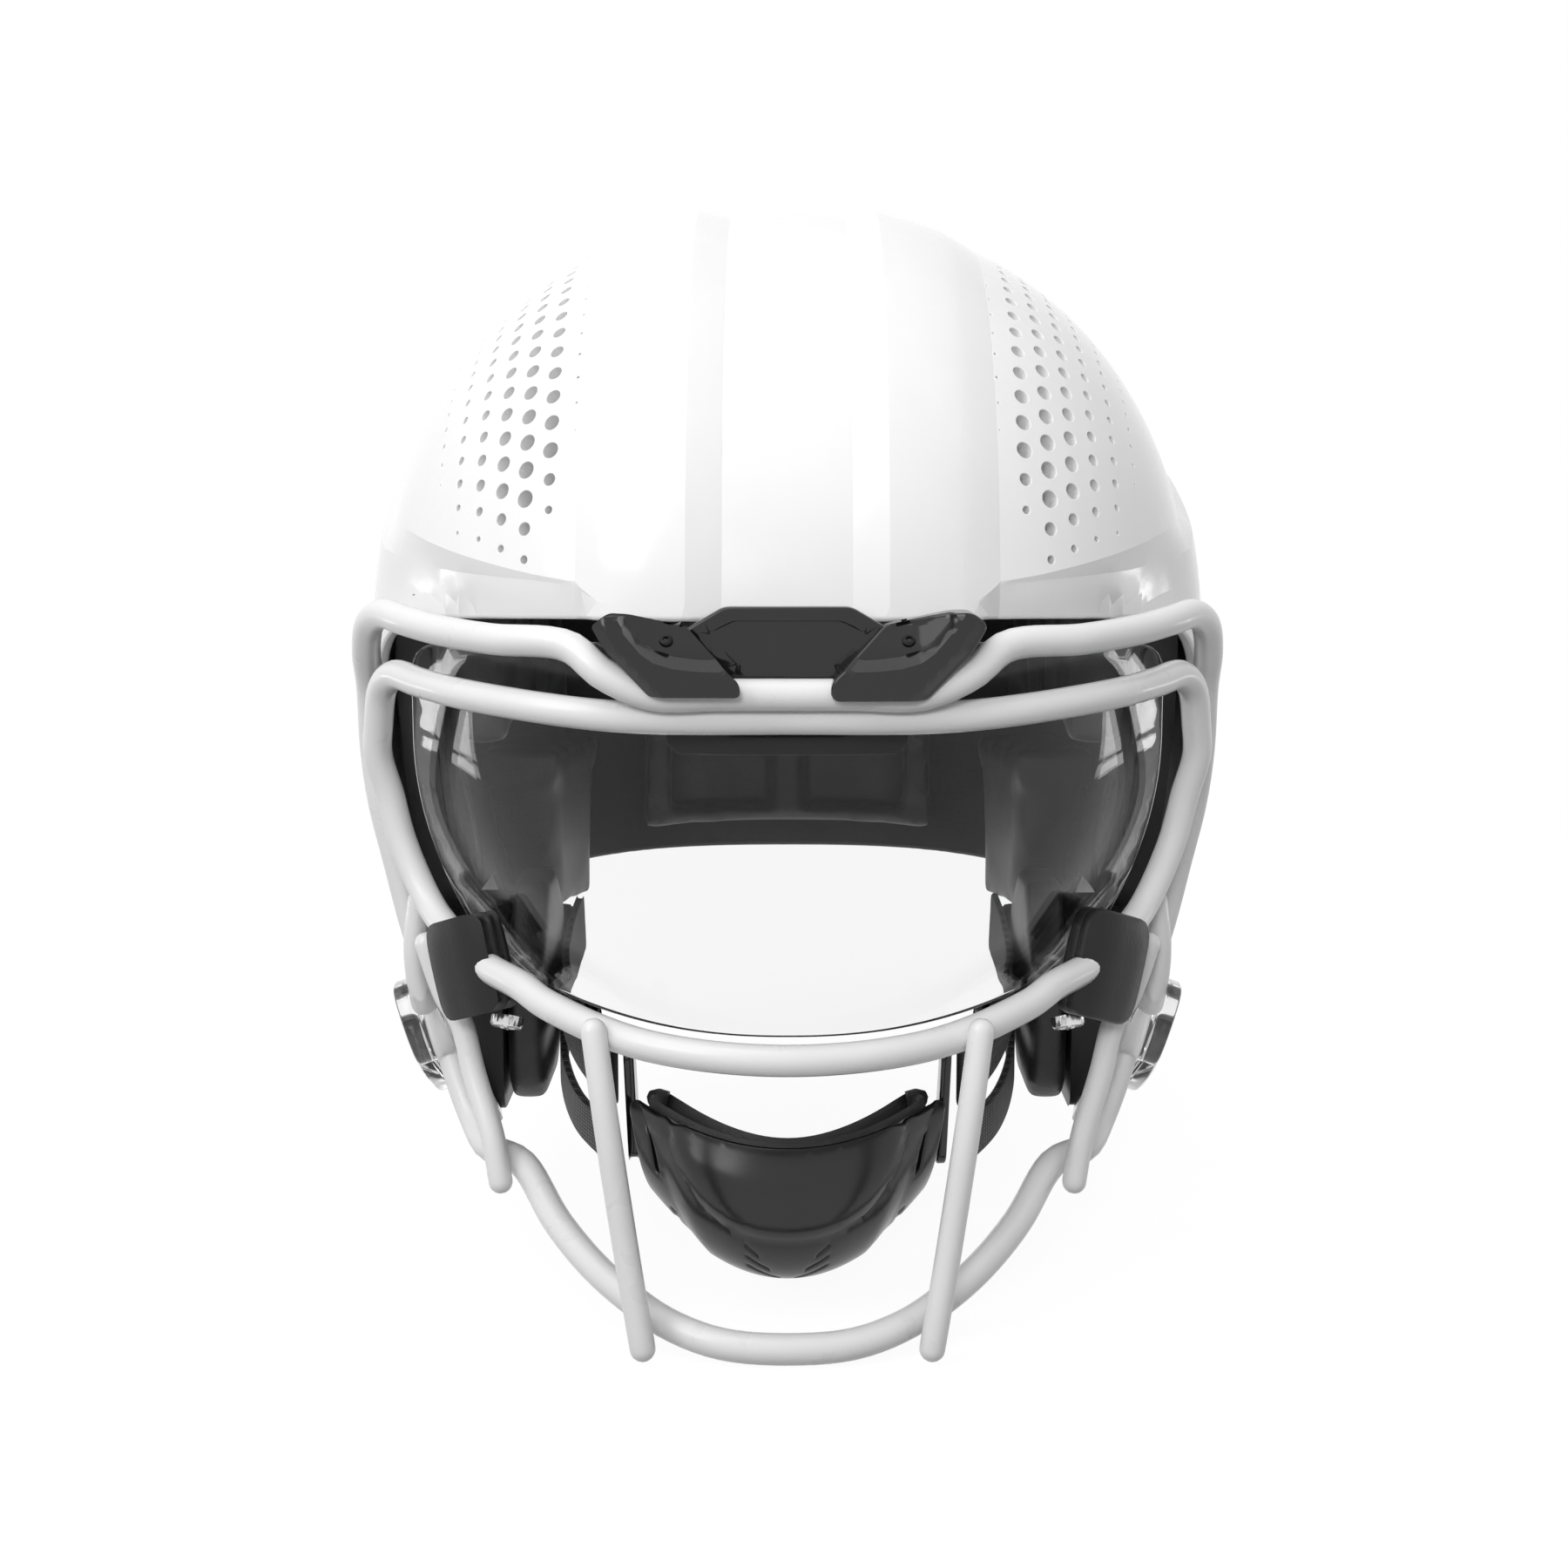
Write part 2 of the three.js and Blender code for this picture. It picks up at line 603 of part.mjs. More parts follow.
// The fork is laid out with its way out along +X and the post's axis along +Z.
function fork() {
  const { base, thickness, slotRadius, mouth } = FORK;
  const shape = new THREE.Shape();
  shape.moveTo(mouth, slotRadius);
  shape.lineTo(0, slotRadius);
  shape.absarc(0, 0, slotRadius, Math.PI / 2, 1.5 * Math.PI);
  shape.lineTo(mouth, -slotRadius);
  for (const [x, y] of [[mouth, -11], [-12, -12], [-17, -6], [-17, 6], [-12, 12], [mouth, 11]]) {
    shape.lineTo(x, y);
  }
  return new THREE.ExtrudeGeometry(shape, { depth: thickness, bevelEnabled: false, curveSegments: 8 })
    .translate(0, 0, base);
}

// +Z points out of the jaw flap and +X points back along it.
function sideMatrix(side) {
  const outward = new THREE.Vector3(side * Math.cos(SIDE_MOUNT.tilt), 0, -Math.sin(SIDE_MOUNT.tilt));
  const back = new THREE.Vector3(0, 1, 0);
  const third = new THREE.Vector3().crossVectors(outward, back);
  return new THREE.Matrix4().makeBasis(back, third, outward)
    .setPosition(side * SIDE_MOUNT.x, SIDE_MOUNT.y, SIDE_MOUNT.z);
}

// The clear clip: a fork round the post, and in front of the jaw flap a grip round the bars.
function sideClip(side) {
  const matrix = sideMatrix(side);
  const forkPart = fork().rotateZ(side * RELEASE_ANGLE).applyMatrix4(matrix);
  const gripShape = roundedRectangle(...GRIP.from, ...GRIP.to, GRIP.radius);
  const grip = new THREE.ExtrudeGeometry(
    gripShape, { depth: GRIP.thickness, bevelEnabled: false, curveSegments: 3 });
  grip.translate(0, 0, GRIP.base).scale(1, side, 1).applyMatrix4(matrix);
  const joined = toManifold(forkPart).add(toManifold(faced(grip)));
  const stub = lengthOfBar(onSide(side, SIDE_STUB), UPRIGHT_RADIUS + 0.4, 4, 8);
  return cut(fromManifold(joined), ringOfBar(OUTER_LOOP, BAR_RADIUS + 0.5, 88, 8), stub);
}

function addSideMounts() {
  for (const [name, side] of SIDES) {
    const frame = new THREE.Group();
    sideMatrix(side).decompose(frame.position, frame.quaternion, frame.scale);
    helmet.add(frame);
    const standing = (profile) => turned(profile, 16).rotateX(Math.PI / 2);
    add(`side_post_${name}`, standing(postProfile()), 'blackMatte', frame);
    add(`side_button_${name}`, standing(buttonProfile()), 'steel', frame);
    add(`side_clip_${name}`, sideClip(side), 'clear');
  }
}

// ---- facemask ----------------------------------------------------------------------------
// Half of each ring, from the centre of its upper bar round to the centre of its lower bar.
const OUTER_LOOP = [
  [0, MASK_AXIS.y, MASK_AXIS.z], [17, MASK_AXIS.y, MASK_AXIS.z], [DIP_HALF_LENGTH, MASK_AXIS.y, MASK_AXIS.z],
  [45, -149, 173.6], [54, -143.5, 180], [74.2, -133, 181], [90.5, -119, 182.4], [100, -110, 184],
  [108, -98, 185], [114, -86, 181.5], [117.2, -75, 173], [118.4, -64, 162], [119, -58, 143],
  [117.4, -57, 128], [113.6, -57, 111], [109.2, -58, 93], [103.3, -61.5, 75], [95.6, -71, 52.5],
  [89.4, -79, 39.8], [84.5, -87, 34.5], [73.5, -98, 33], [62, -116, 22.5], [50.8, -131, 15.5],
  [41, -141, 11], [30, -149.5, 7], [16.6, -156, 4.6], [0, -158, 4],
];
const EYE_LOOP = [
  [0, -144.8, 162.2], [30, -144.5, 162.2], [45, -143, 162.8], [60, -138.5, 164], [84, -123, 166.2],
  [97, -108, 167.6], [105.5, -97, 168.6], [110.4, -89, 164], [112.6, -84, 154], [113.6, -81, 145],
  [110.9, -79, 133.4], [107.9, -79.5, 121.2], [102.8, -83, 109.6], [98, -88, 102.4], [93, -95, 98.4],
  [86, -103, 93.6], [80.4, -109, 91], [69.8, -122, 89], [61.8, -131, 86], [34.8, -152, 81], [0, -161, 79.6],
];
const INNER_UPRIGHT = [[48.4, -151, 84.5], [45.2, -155, 62], [40.6, -156.5, 30], [36.4, -159, 4.6]];
const OUTER_UPRIGHT = [
  [100.9, -84, 92], [95.8, -86, 77.8], [90.9, -89, 70.5], [87, -94, 58], [80.9, -102, 41.5], [78.6, -105, 30],
];
const SIDE_STUB = [[104.4, -74, 102], [105.8, -74, 90.6], [105.6, -73, 80], [104, -72, 72]];

function addMaskBars() {
  add('outer_loop', ringOfBar(OUTER_LOOP, BAR_RADIUS, 88, 8), 'bars');
  add('eye_loop', ringOfBar(EYE_LOOP, BAR_RADIUS, 64, 8), 'bars');
  for (const [name, side] of SIDES) {
    add(`inner_upright_${name}`, lengthOfBar(onSide(side, INNER_UPRIGHT), UPRIGHT_RADIUS, 8, 8), 'bars');
    add(`outer_upright_${name}`, lengthOfBar(onSide(side, OUTER_UPRIGHT), UPRIGHT_RADIUS, 8, 8), 'bars');
    add(`side_stub_${name}`, lengthOfBar(onSide(side, SIDE_STUB), UPRIGHT_RADIUS, 4, 8), 'bars');
  }
}

// ---- visor -------------------------------------------------------------------------------
function visorHalfWidth(z) {
  return VISOR.halfWidth - VISOR.tuckRate * Math.max(0, VISOR.tuckStart - z) ** 2;
}

function visorY(x, z) {
  const front = lerp(VISOR.frontY, VISOR.topY, smoothstep(z, VISOR.leanStart, VISOR.leanEnd));
  return lerp(front, VISOR.edgeY, (Math.abs(x) / visorHalfWidth(z)) ** VISOR.power);
}

// u runs from side to side, v from the lower edge to the upper edge.
function visorSurface(u, v) {
  const across = 2 * u - 1;
  const share = Math.abs(across);
  const low = VISOR.lowZ + VISOR.lowRise * share ** 2;
  const high = lerp(VISOR.middleTop, VISOR.sideTop, smoothstep(share, 0.28, 0.46))
    - VISOR.cornerDrop * smoothstep(share, 0.8, 1);
  const z = lerp(low, high, v);
  const x = across * VISOR.reach * visorHalfWidth(z);
  return new THREE.Vector3(x, visorY(x, z), z);
}

function visor() {
  const back = (u, v) => offsetPoint(visorSurface, u, v, -VISOR.thickness);
  return plateBetween(visorSurface, back, 20, 5);
}

function visorTrim() {
  const { halfWidth, z: [low, high], depths: [near, far] } = VISOR_TRIM;
  const strip = (depth) => (u, v) => {
    const x = lerp(-halfWidth, halfWidth, u);
    const z = lerp(low, high, v);
    return new THREE.Vector3(x, visorY(x, z) - depth, z);
  };
  return plateBetween(strip(near), strip(far), 6, 1);
}

// The clamp on the eye loop's lower corner: a front half and a rear half with the bar between.
function visorClipHalf(side, y0, y1) {
  const { halfWidth, halfHeight, radius } = VISOR_CLAMP;
  const block = prismAlongY(roundedRectangle(-halfWidth, -halfHeight, halfWidth, halfHeight, radius), y0, y1);
  block.rotateY(VISOR_CLAMP.tilt).rotateZ(VISOR_CLAMP.turn);
  block.translate(VISOR_CLAMP.x, VISOR_CLAMP.y, VISOR_CLAMP.z);
  const bar = ringOfBar(EYE_LOOP, BAR_RADIUS + 0.5, 64, 8);
  const pane = (depth) => (u, v) => offsetPoint(visorSurface, lerp(0.75, 1.02, u), lerp(-0.1, 0.4, v), depth);
  const glass = plateBetween(pane(0.5), pane(-VISOR.thickness - 0.5), 5, 2);
  return faced(cut(block, bar, glass).scale(side, 1, 1));
}

// A quarter-turn screw under the clamp.
function visorScrew(side) {
  const { radius, height } = VISOR_SCREW;
  const profile = [[0, -height], [radius - 0.6, -height], [radius, 0.8 - height], [radius, 0], [0, 0]];
  const head = turned(profile, 16).rotateX(VISOR_SCREW.tilt).rotateZ(VISOR_SCREW.turn);
  return faced(head.translate(VISOR_SCREW.x, VISOR_SCREW.y, VISOR_SCREW.z).scale(side, 1, 1));
}

function addVisor() {
  add('visor', visor(), 'clear');
  add('visor_trim', visorTrim(), 'blackMatte');
  for (const [name, side] of SIDES) {
    add(`visor_clip_front_${name}`, visorClipHalf(side, -VISOR_CLAMP.depth, -0.2), 'blackMatte');
    add(`visor_clip_rear_${name}`, visorClipHalf(side, 0.2, VISOR_CLAMP.depth), 'blackMatte');
    add(`visor_screw_${name}`, visorScrew(side), 'steel');
  }
}

// ---- chin strap --------------------------------------------------------------------------
const CUP_SECTION = new THREE.CatmullRomCurve3(vectors([
  [0, -131, 48], [0, -136, 38], [0, -134.5, 24], [0, -127, 14.5], [0, -114, 12], [0, -104, 13.5],
]), false, 'centripetal');

// u runs from side to side, v from the upper rim (0) round under the chin (1). Above 0 it runs straight on.
function cupSurface(u, v) {
  const across = 2 * u - 1;
  const section = CUP_SECTION.getPoint(THREE.MathUtils.clamp(v, 0, 1));
  section.addScaledVector(CUP_SECTION.getTangent(0), Math.min(v, 0) * CUP_SECTION.getLength());
  const halfWidth = lerp(CUP.topHalfWidth, CUP.lowHalfWidth, v);
  const rise = CUP.sideRise * v * (1.55 - 0.55 * v) + CUP.rimRise * (1 - v);
  return new THREE.Vector3(across * halfWidth, section.y + CUP.sweep * across ** 2 * (1 - 0.55 * v),
    section.z + rise * across ** 2);
}

// A layer of the cup between two depths, each with the v where it starts. trim narrows it at the sides.
function cupLayer([nearDepth, nearStart], [farDepth, farStart], trim, columns, rows) {
  const face = (depth, start) => (u, v) => offsetPoint(
    cupSurface, lerp(trim, 1 - trim, u), lerp(start, 1 - trim, v), depth);
  return plateBetween(face(nearDepth, nearStart), face(farDepth, farStart), columns, rows);
}

const STRAPS = {
  upper: {
    halfHeight: 9,
    route: [[47.5, -98, 58], [59, -73, 62.5], [66.6, -45, 68], [STRAP_PLANE_X, -15, 73],
      [STRAP_PLANE_X, 20, 76]],
  },
  lower: {
    halfHeight: 5.5,
    route: [[47.5, -100, 38], [60, -74, 41], [66.8, -47, 47], [STRAP_PLANE_X, -16, 56.5]],
  },
};

const WEBBING = 2.2; // thickness of the straps
const SLIDER = { overhang: 2.5, along: [0.16, 0.3], depths: [1.5, 3.7] };
const SNAP = { x: 70, socketRadius: 4.5, radius: 9, floor: 4, depth: 10 };
const ANCHOR = { x: 74.6, studRadius: 4, flangeRadius: 9, flangeStart: 24, length: 26.4 };

// A flat band standing on edge along a strap's route, between two depths from its middle.
function bandAlong(side, route, halfHeight, [start, end], [depthA, depthB], columns) {
  const curve = new THREE.CatmullRomCurve3(vectors(onSide(side, route)), false, 'centripetal');
  const middle = (u, v) => {
    const point = curve.getPoint(THREE.MathUtils.clamp(u, 0, 1));
    return point.setZ(point.z + lerp(-halfHeight, halfHeight, v));
  };
  const face = (depth) => (u, v) => offsetPoint(middle, lerp(start, end, u), v, side * depth);
  return plateBetween(face(depthA), face(depthB), columns, 1);
}

function strap(side, { route, halfHeight }) {
  return bandAlong(side, route, halfHeight, [0.002, 0.998], [-WEBBING / 2, WEBBING / 2], 12);
}

// A flat slider on the inner face of the upper strap.
function slider(side) {
  const { route, halfHeight } = STRAPS.upper;
  return bandAlong(side, route, halfHeight + SLIDER.overhang, SLIDER.along, SLIDER.depths, 2);
}

// A piece turned about +X, turned round for the other side.
function facing(side, geometry) {
  return side > 0 ? geometry : geometry.rotateZ(Math.PI);
}

function snap(side) {
  const { x, socketRadius, radius, floor, depth } = SNAP;
  const profile = [[0, floor], [socketRadius, floor], [socketRadius, depth], [radius, depth], [radius, 0],
    [0, 0]];
  return facing(side, turnedAlongX(profile, 20)).translate(side * x, STRAP_AXIS.y, STRAP_AXIS.z);
}

function anchor(side) {
  const { x, studRadius, flangeRadius, flangeStart, length } = ANCHOR;
  const profile = [[0, 0], [studRadius, 0], [studRadius, flangeStart], [flangeRadius, flangeStart],
    [flangeRadius, length], [0, length]];
  return facing(side, turnedAlongX(profile, 16)).translate(side * x, STRAP_AXIS.y, STRAP_AXIS.z);
}

function addChinStrap() {
  add('chin_cup', cupLayer([0, 0.035], [CUP.thickness, 0.035], 0, 12, 8), 'blackGloss');
  add('chin_pad', cupLayer([CUP.padNear, 0], [CUP.padFar, -0.13], 0.06, 12, 8), 'blackMatte');
  for (const [name, side] of SIDES) {
    add(`strap_upper_${name}`, strap(side, STRAPS.upper), 'webbing');
    add(`strap_lower_${name}`, strap(side, STRAPS.lower), 'webbing');
    add(`strap_slider_${name}`, slider(side), 'blackGloss');
    add(`strap_snap_${name}`, snap(side), 'blackGloss');
    add(`strap_anchor_${name}`, anchor(side), 'steel');
  }
}

// ---- assembly ----------------------------------------------------------------------------
add('outer_shell', outerShell(), 'shell');
add('arch_shell', archShell(), 'arch');
addPads();
addJawPads();
addBrowAndRear();
addSideMounts();
addMaskBars();
addVisor();
addChinStrap();

export default helmet;
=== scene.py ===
"""The looks of an american football helmet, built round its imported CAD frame. Blender 4.5.

Shapes are worked out in millimetres in the head frame: X to the side, Y to the back, Z up, with the
head's own centre at Y 0. The row frame is the same, moved by HEAD_SHIFT_Y, and in metres.
"""

import math

import bpy
import numpy as np
from mathutils import Euler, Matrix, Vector
from mathutils.geometry import delaunay_2d_cdt
from mathutils.kdtree import KDTree


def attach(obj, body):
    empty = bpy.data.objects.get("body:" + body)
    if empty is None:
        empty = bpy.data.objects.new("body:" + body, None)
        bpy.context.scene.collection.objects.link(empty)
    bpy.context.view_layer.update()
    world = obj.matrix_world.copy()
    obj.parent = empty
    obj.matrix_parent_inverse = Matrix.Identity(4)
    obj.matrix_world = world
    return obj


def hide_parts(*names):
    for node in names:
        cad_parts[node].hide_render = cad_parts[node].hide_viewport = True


MM = 0.001
HEAD_SHIFT_Y = 3.95
SIDES = (("left", 1), ("right", -1))

# ---- driving dimensions, millimetres -------------------------------------------------------
CENTRE = np.array([0.0, 0.0, 168.0])
DOME = dict(half_width=121, front=138, back=150, height=130, plan_power=2.5, crown_power=2.2,
            jaw_taper=205, nape_taper=170)
BAND_X = (0, 16.4, 25.5, 44.4, 53.8, 400)  # the raised band: channel, ridge, shoulder, foot
BAND_RISE = (0, 0, 3, 1.8, 0, 0)
# The border under the perforated panel: degrees round from the front, height, width of its chamfer.
PANEL_AT = (0, 20, 23, 28, 36, 44, 53, 64, 72, 85, 105, 140, 180)
PANEL_Z = (180, 190, 194.4, 195.2, 196, 196.7, 198.6, 201, 207, 221, 231, 208, 202)
PANEL_CHAMFER = (0.6, 0.6, 0.8, 1.6, 4, 6.5, 8, 7, 6, 5, 6, 36, 44)  # its edge fades out at the back
CHAMFER_SLOPE = 0.46  # the brow band falls away under the panel, first steeply and then less so
BROW_SLOPE, BROW_DROP = 0.30, 9
SIDE_FLARE = 3.0  # the side band stands out of the panel
BROW_TO_SIDE = (42, 72)  # degrees round over which one turns into the other
RELIEF_INNER_END = (18.6, 22.5)  # degrees round where both start, beside the middle band
RELIEF_LOWER_END = (100, 150)  # heights over which both fade in
NAPE_FADE = (110, 170)  # heights over which the middle band fades in at the back
SHELL_THICKNESS = 3.2
TUNNEL = 6.0  # length of the perforations
ARCH_OUTER, ARCH_THICKNESS = 14.6, 2.3
EAR = dict(y=-5, z=112, half_length=15, half_height=19)
BAR_RADIUS = 4.0
UPRIGHT_RADIUS = 3.3
MASK_AXIS = (-150.0, 168.7)  # Y and Z, like every axis across the head
VISOR = dict(front=-149, top=-138.5, edge=-70, half_width=108, power=2.4, thickness=2.2)
STRAP_AXIS = (12.0, 74.0)
SIDE_MOUNT = dict(x=100.8, y=-46, z=60, tilt=math.radians(20))
RELEASE_ANGLE = math.atan2(SIDE_MOUNT["y"] - MASK_AXIS[0], MASK_AXIS[1] - SIDE_MOUNT["z"])

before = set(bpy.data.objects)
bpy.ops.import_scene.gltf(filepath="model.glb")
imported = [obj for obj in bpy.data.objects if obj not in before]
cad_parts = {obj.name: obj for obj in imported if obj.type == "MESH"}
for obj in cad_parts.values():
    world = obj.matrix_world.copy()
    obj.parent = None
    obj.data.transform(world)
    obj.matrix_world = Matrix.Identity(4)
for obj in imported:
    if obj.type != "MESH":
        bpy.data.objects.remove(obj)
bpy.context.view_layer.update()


# ---- small geometry helpers ----------------------------------------------------------------
def smoothstep(value, low, high):
    t = np.clip((np.asarray(value, float) - low) / (high - low), 0, 1)
    return t * t * (3 - 2 * t)


def normalised(vectors):
    return vectors / np.maximum(np.linalg.norm(vectors, axis=-1, keepdims=True), 1e-9)


def mirror_x(points, side):
    return np.asarray(points, float) * (side, 1, 1)


def columns(*values):
    """Points from their coordinates, each an array or one number for all."""
    return np.stack(np.broadcast_arrays(*[np.asarray(value, float) for value in values]), axis=1)


def full_turn(count):
    """Angles at even steps all the way round, in radians."""
    return np.linspace(0, 2 * math.pi, count, endpoint=False)


def both_halves(half):
    """A closed line from its half at +X. Points in the middle plane aren't repeated."""
    return list(half) + [(-point[0], *point[1:]) for point in reversed(half) if point[0]]


def tree_of(points):
    """The points ready for looking up the nearest one."""
    tree = KDTree(len(points))
    for k, point in enumerate(points):
        tree.insert(point, k)
    tree.balance()
    return tree


def per_point(value, points):
    """A number for each point, from one number for all or from a function of the points."""
    return value(points) if callable(value) else np.full(len(points), float(value))


def curve_points(points, closed=False, steps=24):
    """Points along a centripetal Catmull-Rom curve, the same number between every two knots."""
    knots = np.asarray(points, float)
    if closed:
        knots = np.vstack([knots[-1], knots, knots[0], knots[1]])
    else:
        knots = np.vstack([2 * knots[0] - knots[1], knots, 2 * knots[-1] - knots[-2]])
    dense = []
    for p0, p1, p2, p3 in zip(knots, knots[1:], knots[2:], knots[3:]):
        t0 = 0.0
        t1 = t0 + math.sqrt(np.linalg.norm(p1 - p0))
        t2 = t1 + math.sqrt(np.linalg.norm(p2 - p1))
        t3 = t2 + math.sqrt(np.linalg.norm(p3 - p2))
        t = np.linspace(t1, t2, steps, endpoint=False)[:, None]
        a1 = (t1 - t) / (t1 - t0) * p0 + (t - t0) / (t1 - t0) * p1
        a2 = (t2 - t) / (t2 - t1) * p1 + (t - t1) / (t2 - t1) * p2
        a3 = (t3 - t) / (t3 - t2) * p2 + (t - t2) / (t3 - t2) * p3
        b1 = (t2 - t) / (t2 - t0) * a1 + (t - t0) / (t2 - t0) * a2
        b2 = (t3 - t) / (t3 - t1) * a2 + (t - t1) / (t3 - t1) * a3
        dense.append((t2 - t) / (t2 - t1) * b1 + (t - t1) / (t2 - t1) * b2)
    dense.append(knots[-2][None] if not closed else knots[1][None])
    return np.vstack(dense)


def smooth_line(points, count, closed=False):
    """count points along the same curve, evenly spaced."""
    return even_line(curve_points(points, closed), count, closed)


def even_line(points, count, closed=False):
    """count points at even steps along a polyline. A closed line isn't repeated at its end."""
    points = np.asarray(points, float)
    steps = np.linalg.norm(np.diff(points, axis=0), axis=1)
    along = np.concatenate([[0], np.cumsum(steps)])
    wanted = np.linspace(0, along[-1], count, endpoint=not closed)
    return columns(*[np.interp(wanted, along, values) for values in points.T])


def rounded_outline(corners, radius, steps=5):
    """A closed 2D outline with each corner rounded by its radius, or by one for all."""
    corners = np.asarray(corners, float)
    radii = np.broadcast_to(radius, len(corners))
    points = []
    for k, corner in enumerate(corners):
        before = normalised(corners[k - 1] - corner)
        after = normalised(corners[(k + 1) % len(corners)] - corner)
        start, end = corner + before * radii[k], corner + after * radii[k]
        for t in np.linspace(0, 1, steps):
            points.append((1 - t) ** 2 * start + 2 * t * (1 - t) * corner + t * t * end)
    return np.array(points)


def rectangle(u0, v0, u1, v1, radius):
    return rounded_outline([(u0, v0), (u1, v0), (u1, v1), (u0, v1)], radius)


def denser(outline, spacing):
    """A closed outline with points added so that none are further apart than the spacing."""
    points = []
    for a, b in zip(outline, np.roll(outline, -1, axis=0)):
        count = max(1, int(np.linalg.norm(b - a) / spacing))
        points += [a + (b - a) * k / count for k in range(count)]
    return np.array(points)


def inside_outline(points, outline):
    """Which 2D points lie inside a closed outline."""
    x, y = points[:, 0, None], points[:, 1, None]
    ax, ay = outline[None, :, 0], outline[None, :, 1]
    bx, by = np.roll(ax, -1, axis=1), np.roll(ay, -1, axis=1)
    spans = (ay > y) != (by > y)
    crossing = (bx - ax) * (y - ay) / np.where(by == ay, 1e-12, by - ay) + ax
    return (np.count_nonzero(spans & (x < crossing), axis=1) % 2) == 1


# ---- meshes --------------------------------------------------------------------------------
def new_object(name, data):
    obj = bpy.data.objects.new(name, data)
    bpy.context.scene.collection.objects.link(obj)
    return obj


def make_object(name, shape, material, body, replaces, sharp=50):
    """A mesh object from a shape in the head frame, in millimetres, riding on a CAD body."""
    points, faces = shape
    rows = (np.asarray(points, float) + (0, HEAD_SHIFT_Y, 0)) * MM
    mesh = bpy.data.meshes.new(name)
    mesh.from_pydata(rows.tolist(), [], [tuple(int(k) for k in face) for face in faces])
    mesh.validate()
    mesh.polygons.foreach_set("use_smooth", [True] * len(mesh.polygons))
    mesh.set_sharp_from_angle(angle=math.radians(sharp))
    mesh.materials.append(material)
    obj = new_object(name, mesh)
    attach(obj, body)
    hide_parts(*replaces)
    return obj


def joined(parts):
    """Several shapes as one."""
    points, faces, base = [], [], 0
    for part_points, part_faces in parts:
        points.append(np.asarray(part_points, float))
        faces += [tuple(k + base for k in face) for face in part_faces]
        base += len(part_points)
    return np.vstack(points), faces


def outward(points, faces):
    """A closed shape, (points, faces), with its faces turned outward."""
    points = np.asarray(points, float)
    volume = 0.0
    for face in faces:
        a = points[face[0]]
        for b, c in zip(face[1:], face[2:]):
            volume += np.dot(a, np.cross(points[b], points[c]))
    if volume < 0:
        faces = [tuple(reversed(face)) for face in faces]
    return points, faces


def plan_triangles(outline, holes, creases, spacing):
    """Triangles of a flat region with holes: (points, triangles). Creases become lines of edges."""
    low, high = outline.min(axis=0), outline.max(axis=0)
    columns = np.arange(low[0] + spacing * 0.37, high[0], spacing)
    rows = np.arange(low[1] + spacing * 0.41, high[1], spacing * 0.866)
    grid = np.array([(c + (spacing / 2 if k % 2 else 0), r) for k, r in enumerate(rows) for c in columns])
    lines = [(outline, True)] + [(hole, True) for hole in holes] + [(crease, False) for crease in creases]
    fixed = np.vstack([line for line, _ in lines])
    tree = tree_of([(x, y, 0) for x, y in fixed])
    grid = grid[inside_outline(grid, outline)]
    clear = [tree.find((p[0], p[1], 0))[2] > spacing * 0.55 for p in grid]
    grid = grid[np.array(clear, bool)]
    edges, base = [], 0
    for line, closed in lines:
        count = len(line)
        edges += [(base + k, base + (k + 1) % count) for k in range(count if closed else count - 1)]
        base += count
    points = np.vstack([fixed, grid])
    flat = [Vector((float(p[0]), float(p[1]))) for p in points]
    made, _, triangles, _, _, _ = delaunay_2d_cdt(flat, edges, [], 0, 1e-5, False)
    made = np.array([tuple(p) for p in made])
    triangles = np.array(triangles)
    middle = made[triangles].mean(axis=1)
    keep = inside_outline(middle, outline)
    for hole in holes:
        near = np.all((middle > hole.min(axis=0)) & (middle < hole.max(axis=0)), axis=1) & keep
        index = np.nonzero(near)[0]
        if len(index):
            keep[index[inside_outline(middle[index], hole)]] = False
    triangles = triangles[keep]
    used, compact = np.unique(triangles, return_inverse=True)
    return made[used], compact.reshape(-1, 3)


def vertex_normals(points, triangles):
    """Normals at the points, weighted by the triangles' areas."""
    a, b, c = (points[triangles[:, k]] for k in range(3))
    cross = np.cross(b - a, c - a)
    normals = np.zeros_like(points)
    for k in range(3):
        np.add.at(normals, triangles[:, k], cross)
    return normalised(normals)


def rim_profile(thickness, rounding, steps=4):
    """Steps round an edge: (how far through the wall, how far out of it)."""
    radius = min(rounding, thickness / 2)
    turns = np.linspace(0, math.pi / 2, steps + 1)[1:]
    first = [(radius * (1 - math.cos(t)), radius * math.sin(t)) for t in turns]
    second = [(thickness - through, out) for through, out in reversed(first)]
    return (first + second)[:-1] if thickness <= 2 * radius + 1e-6 else first + second


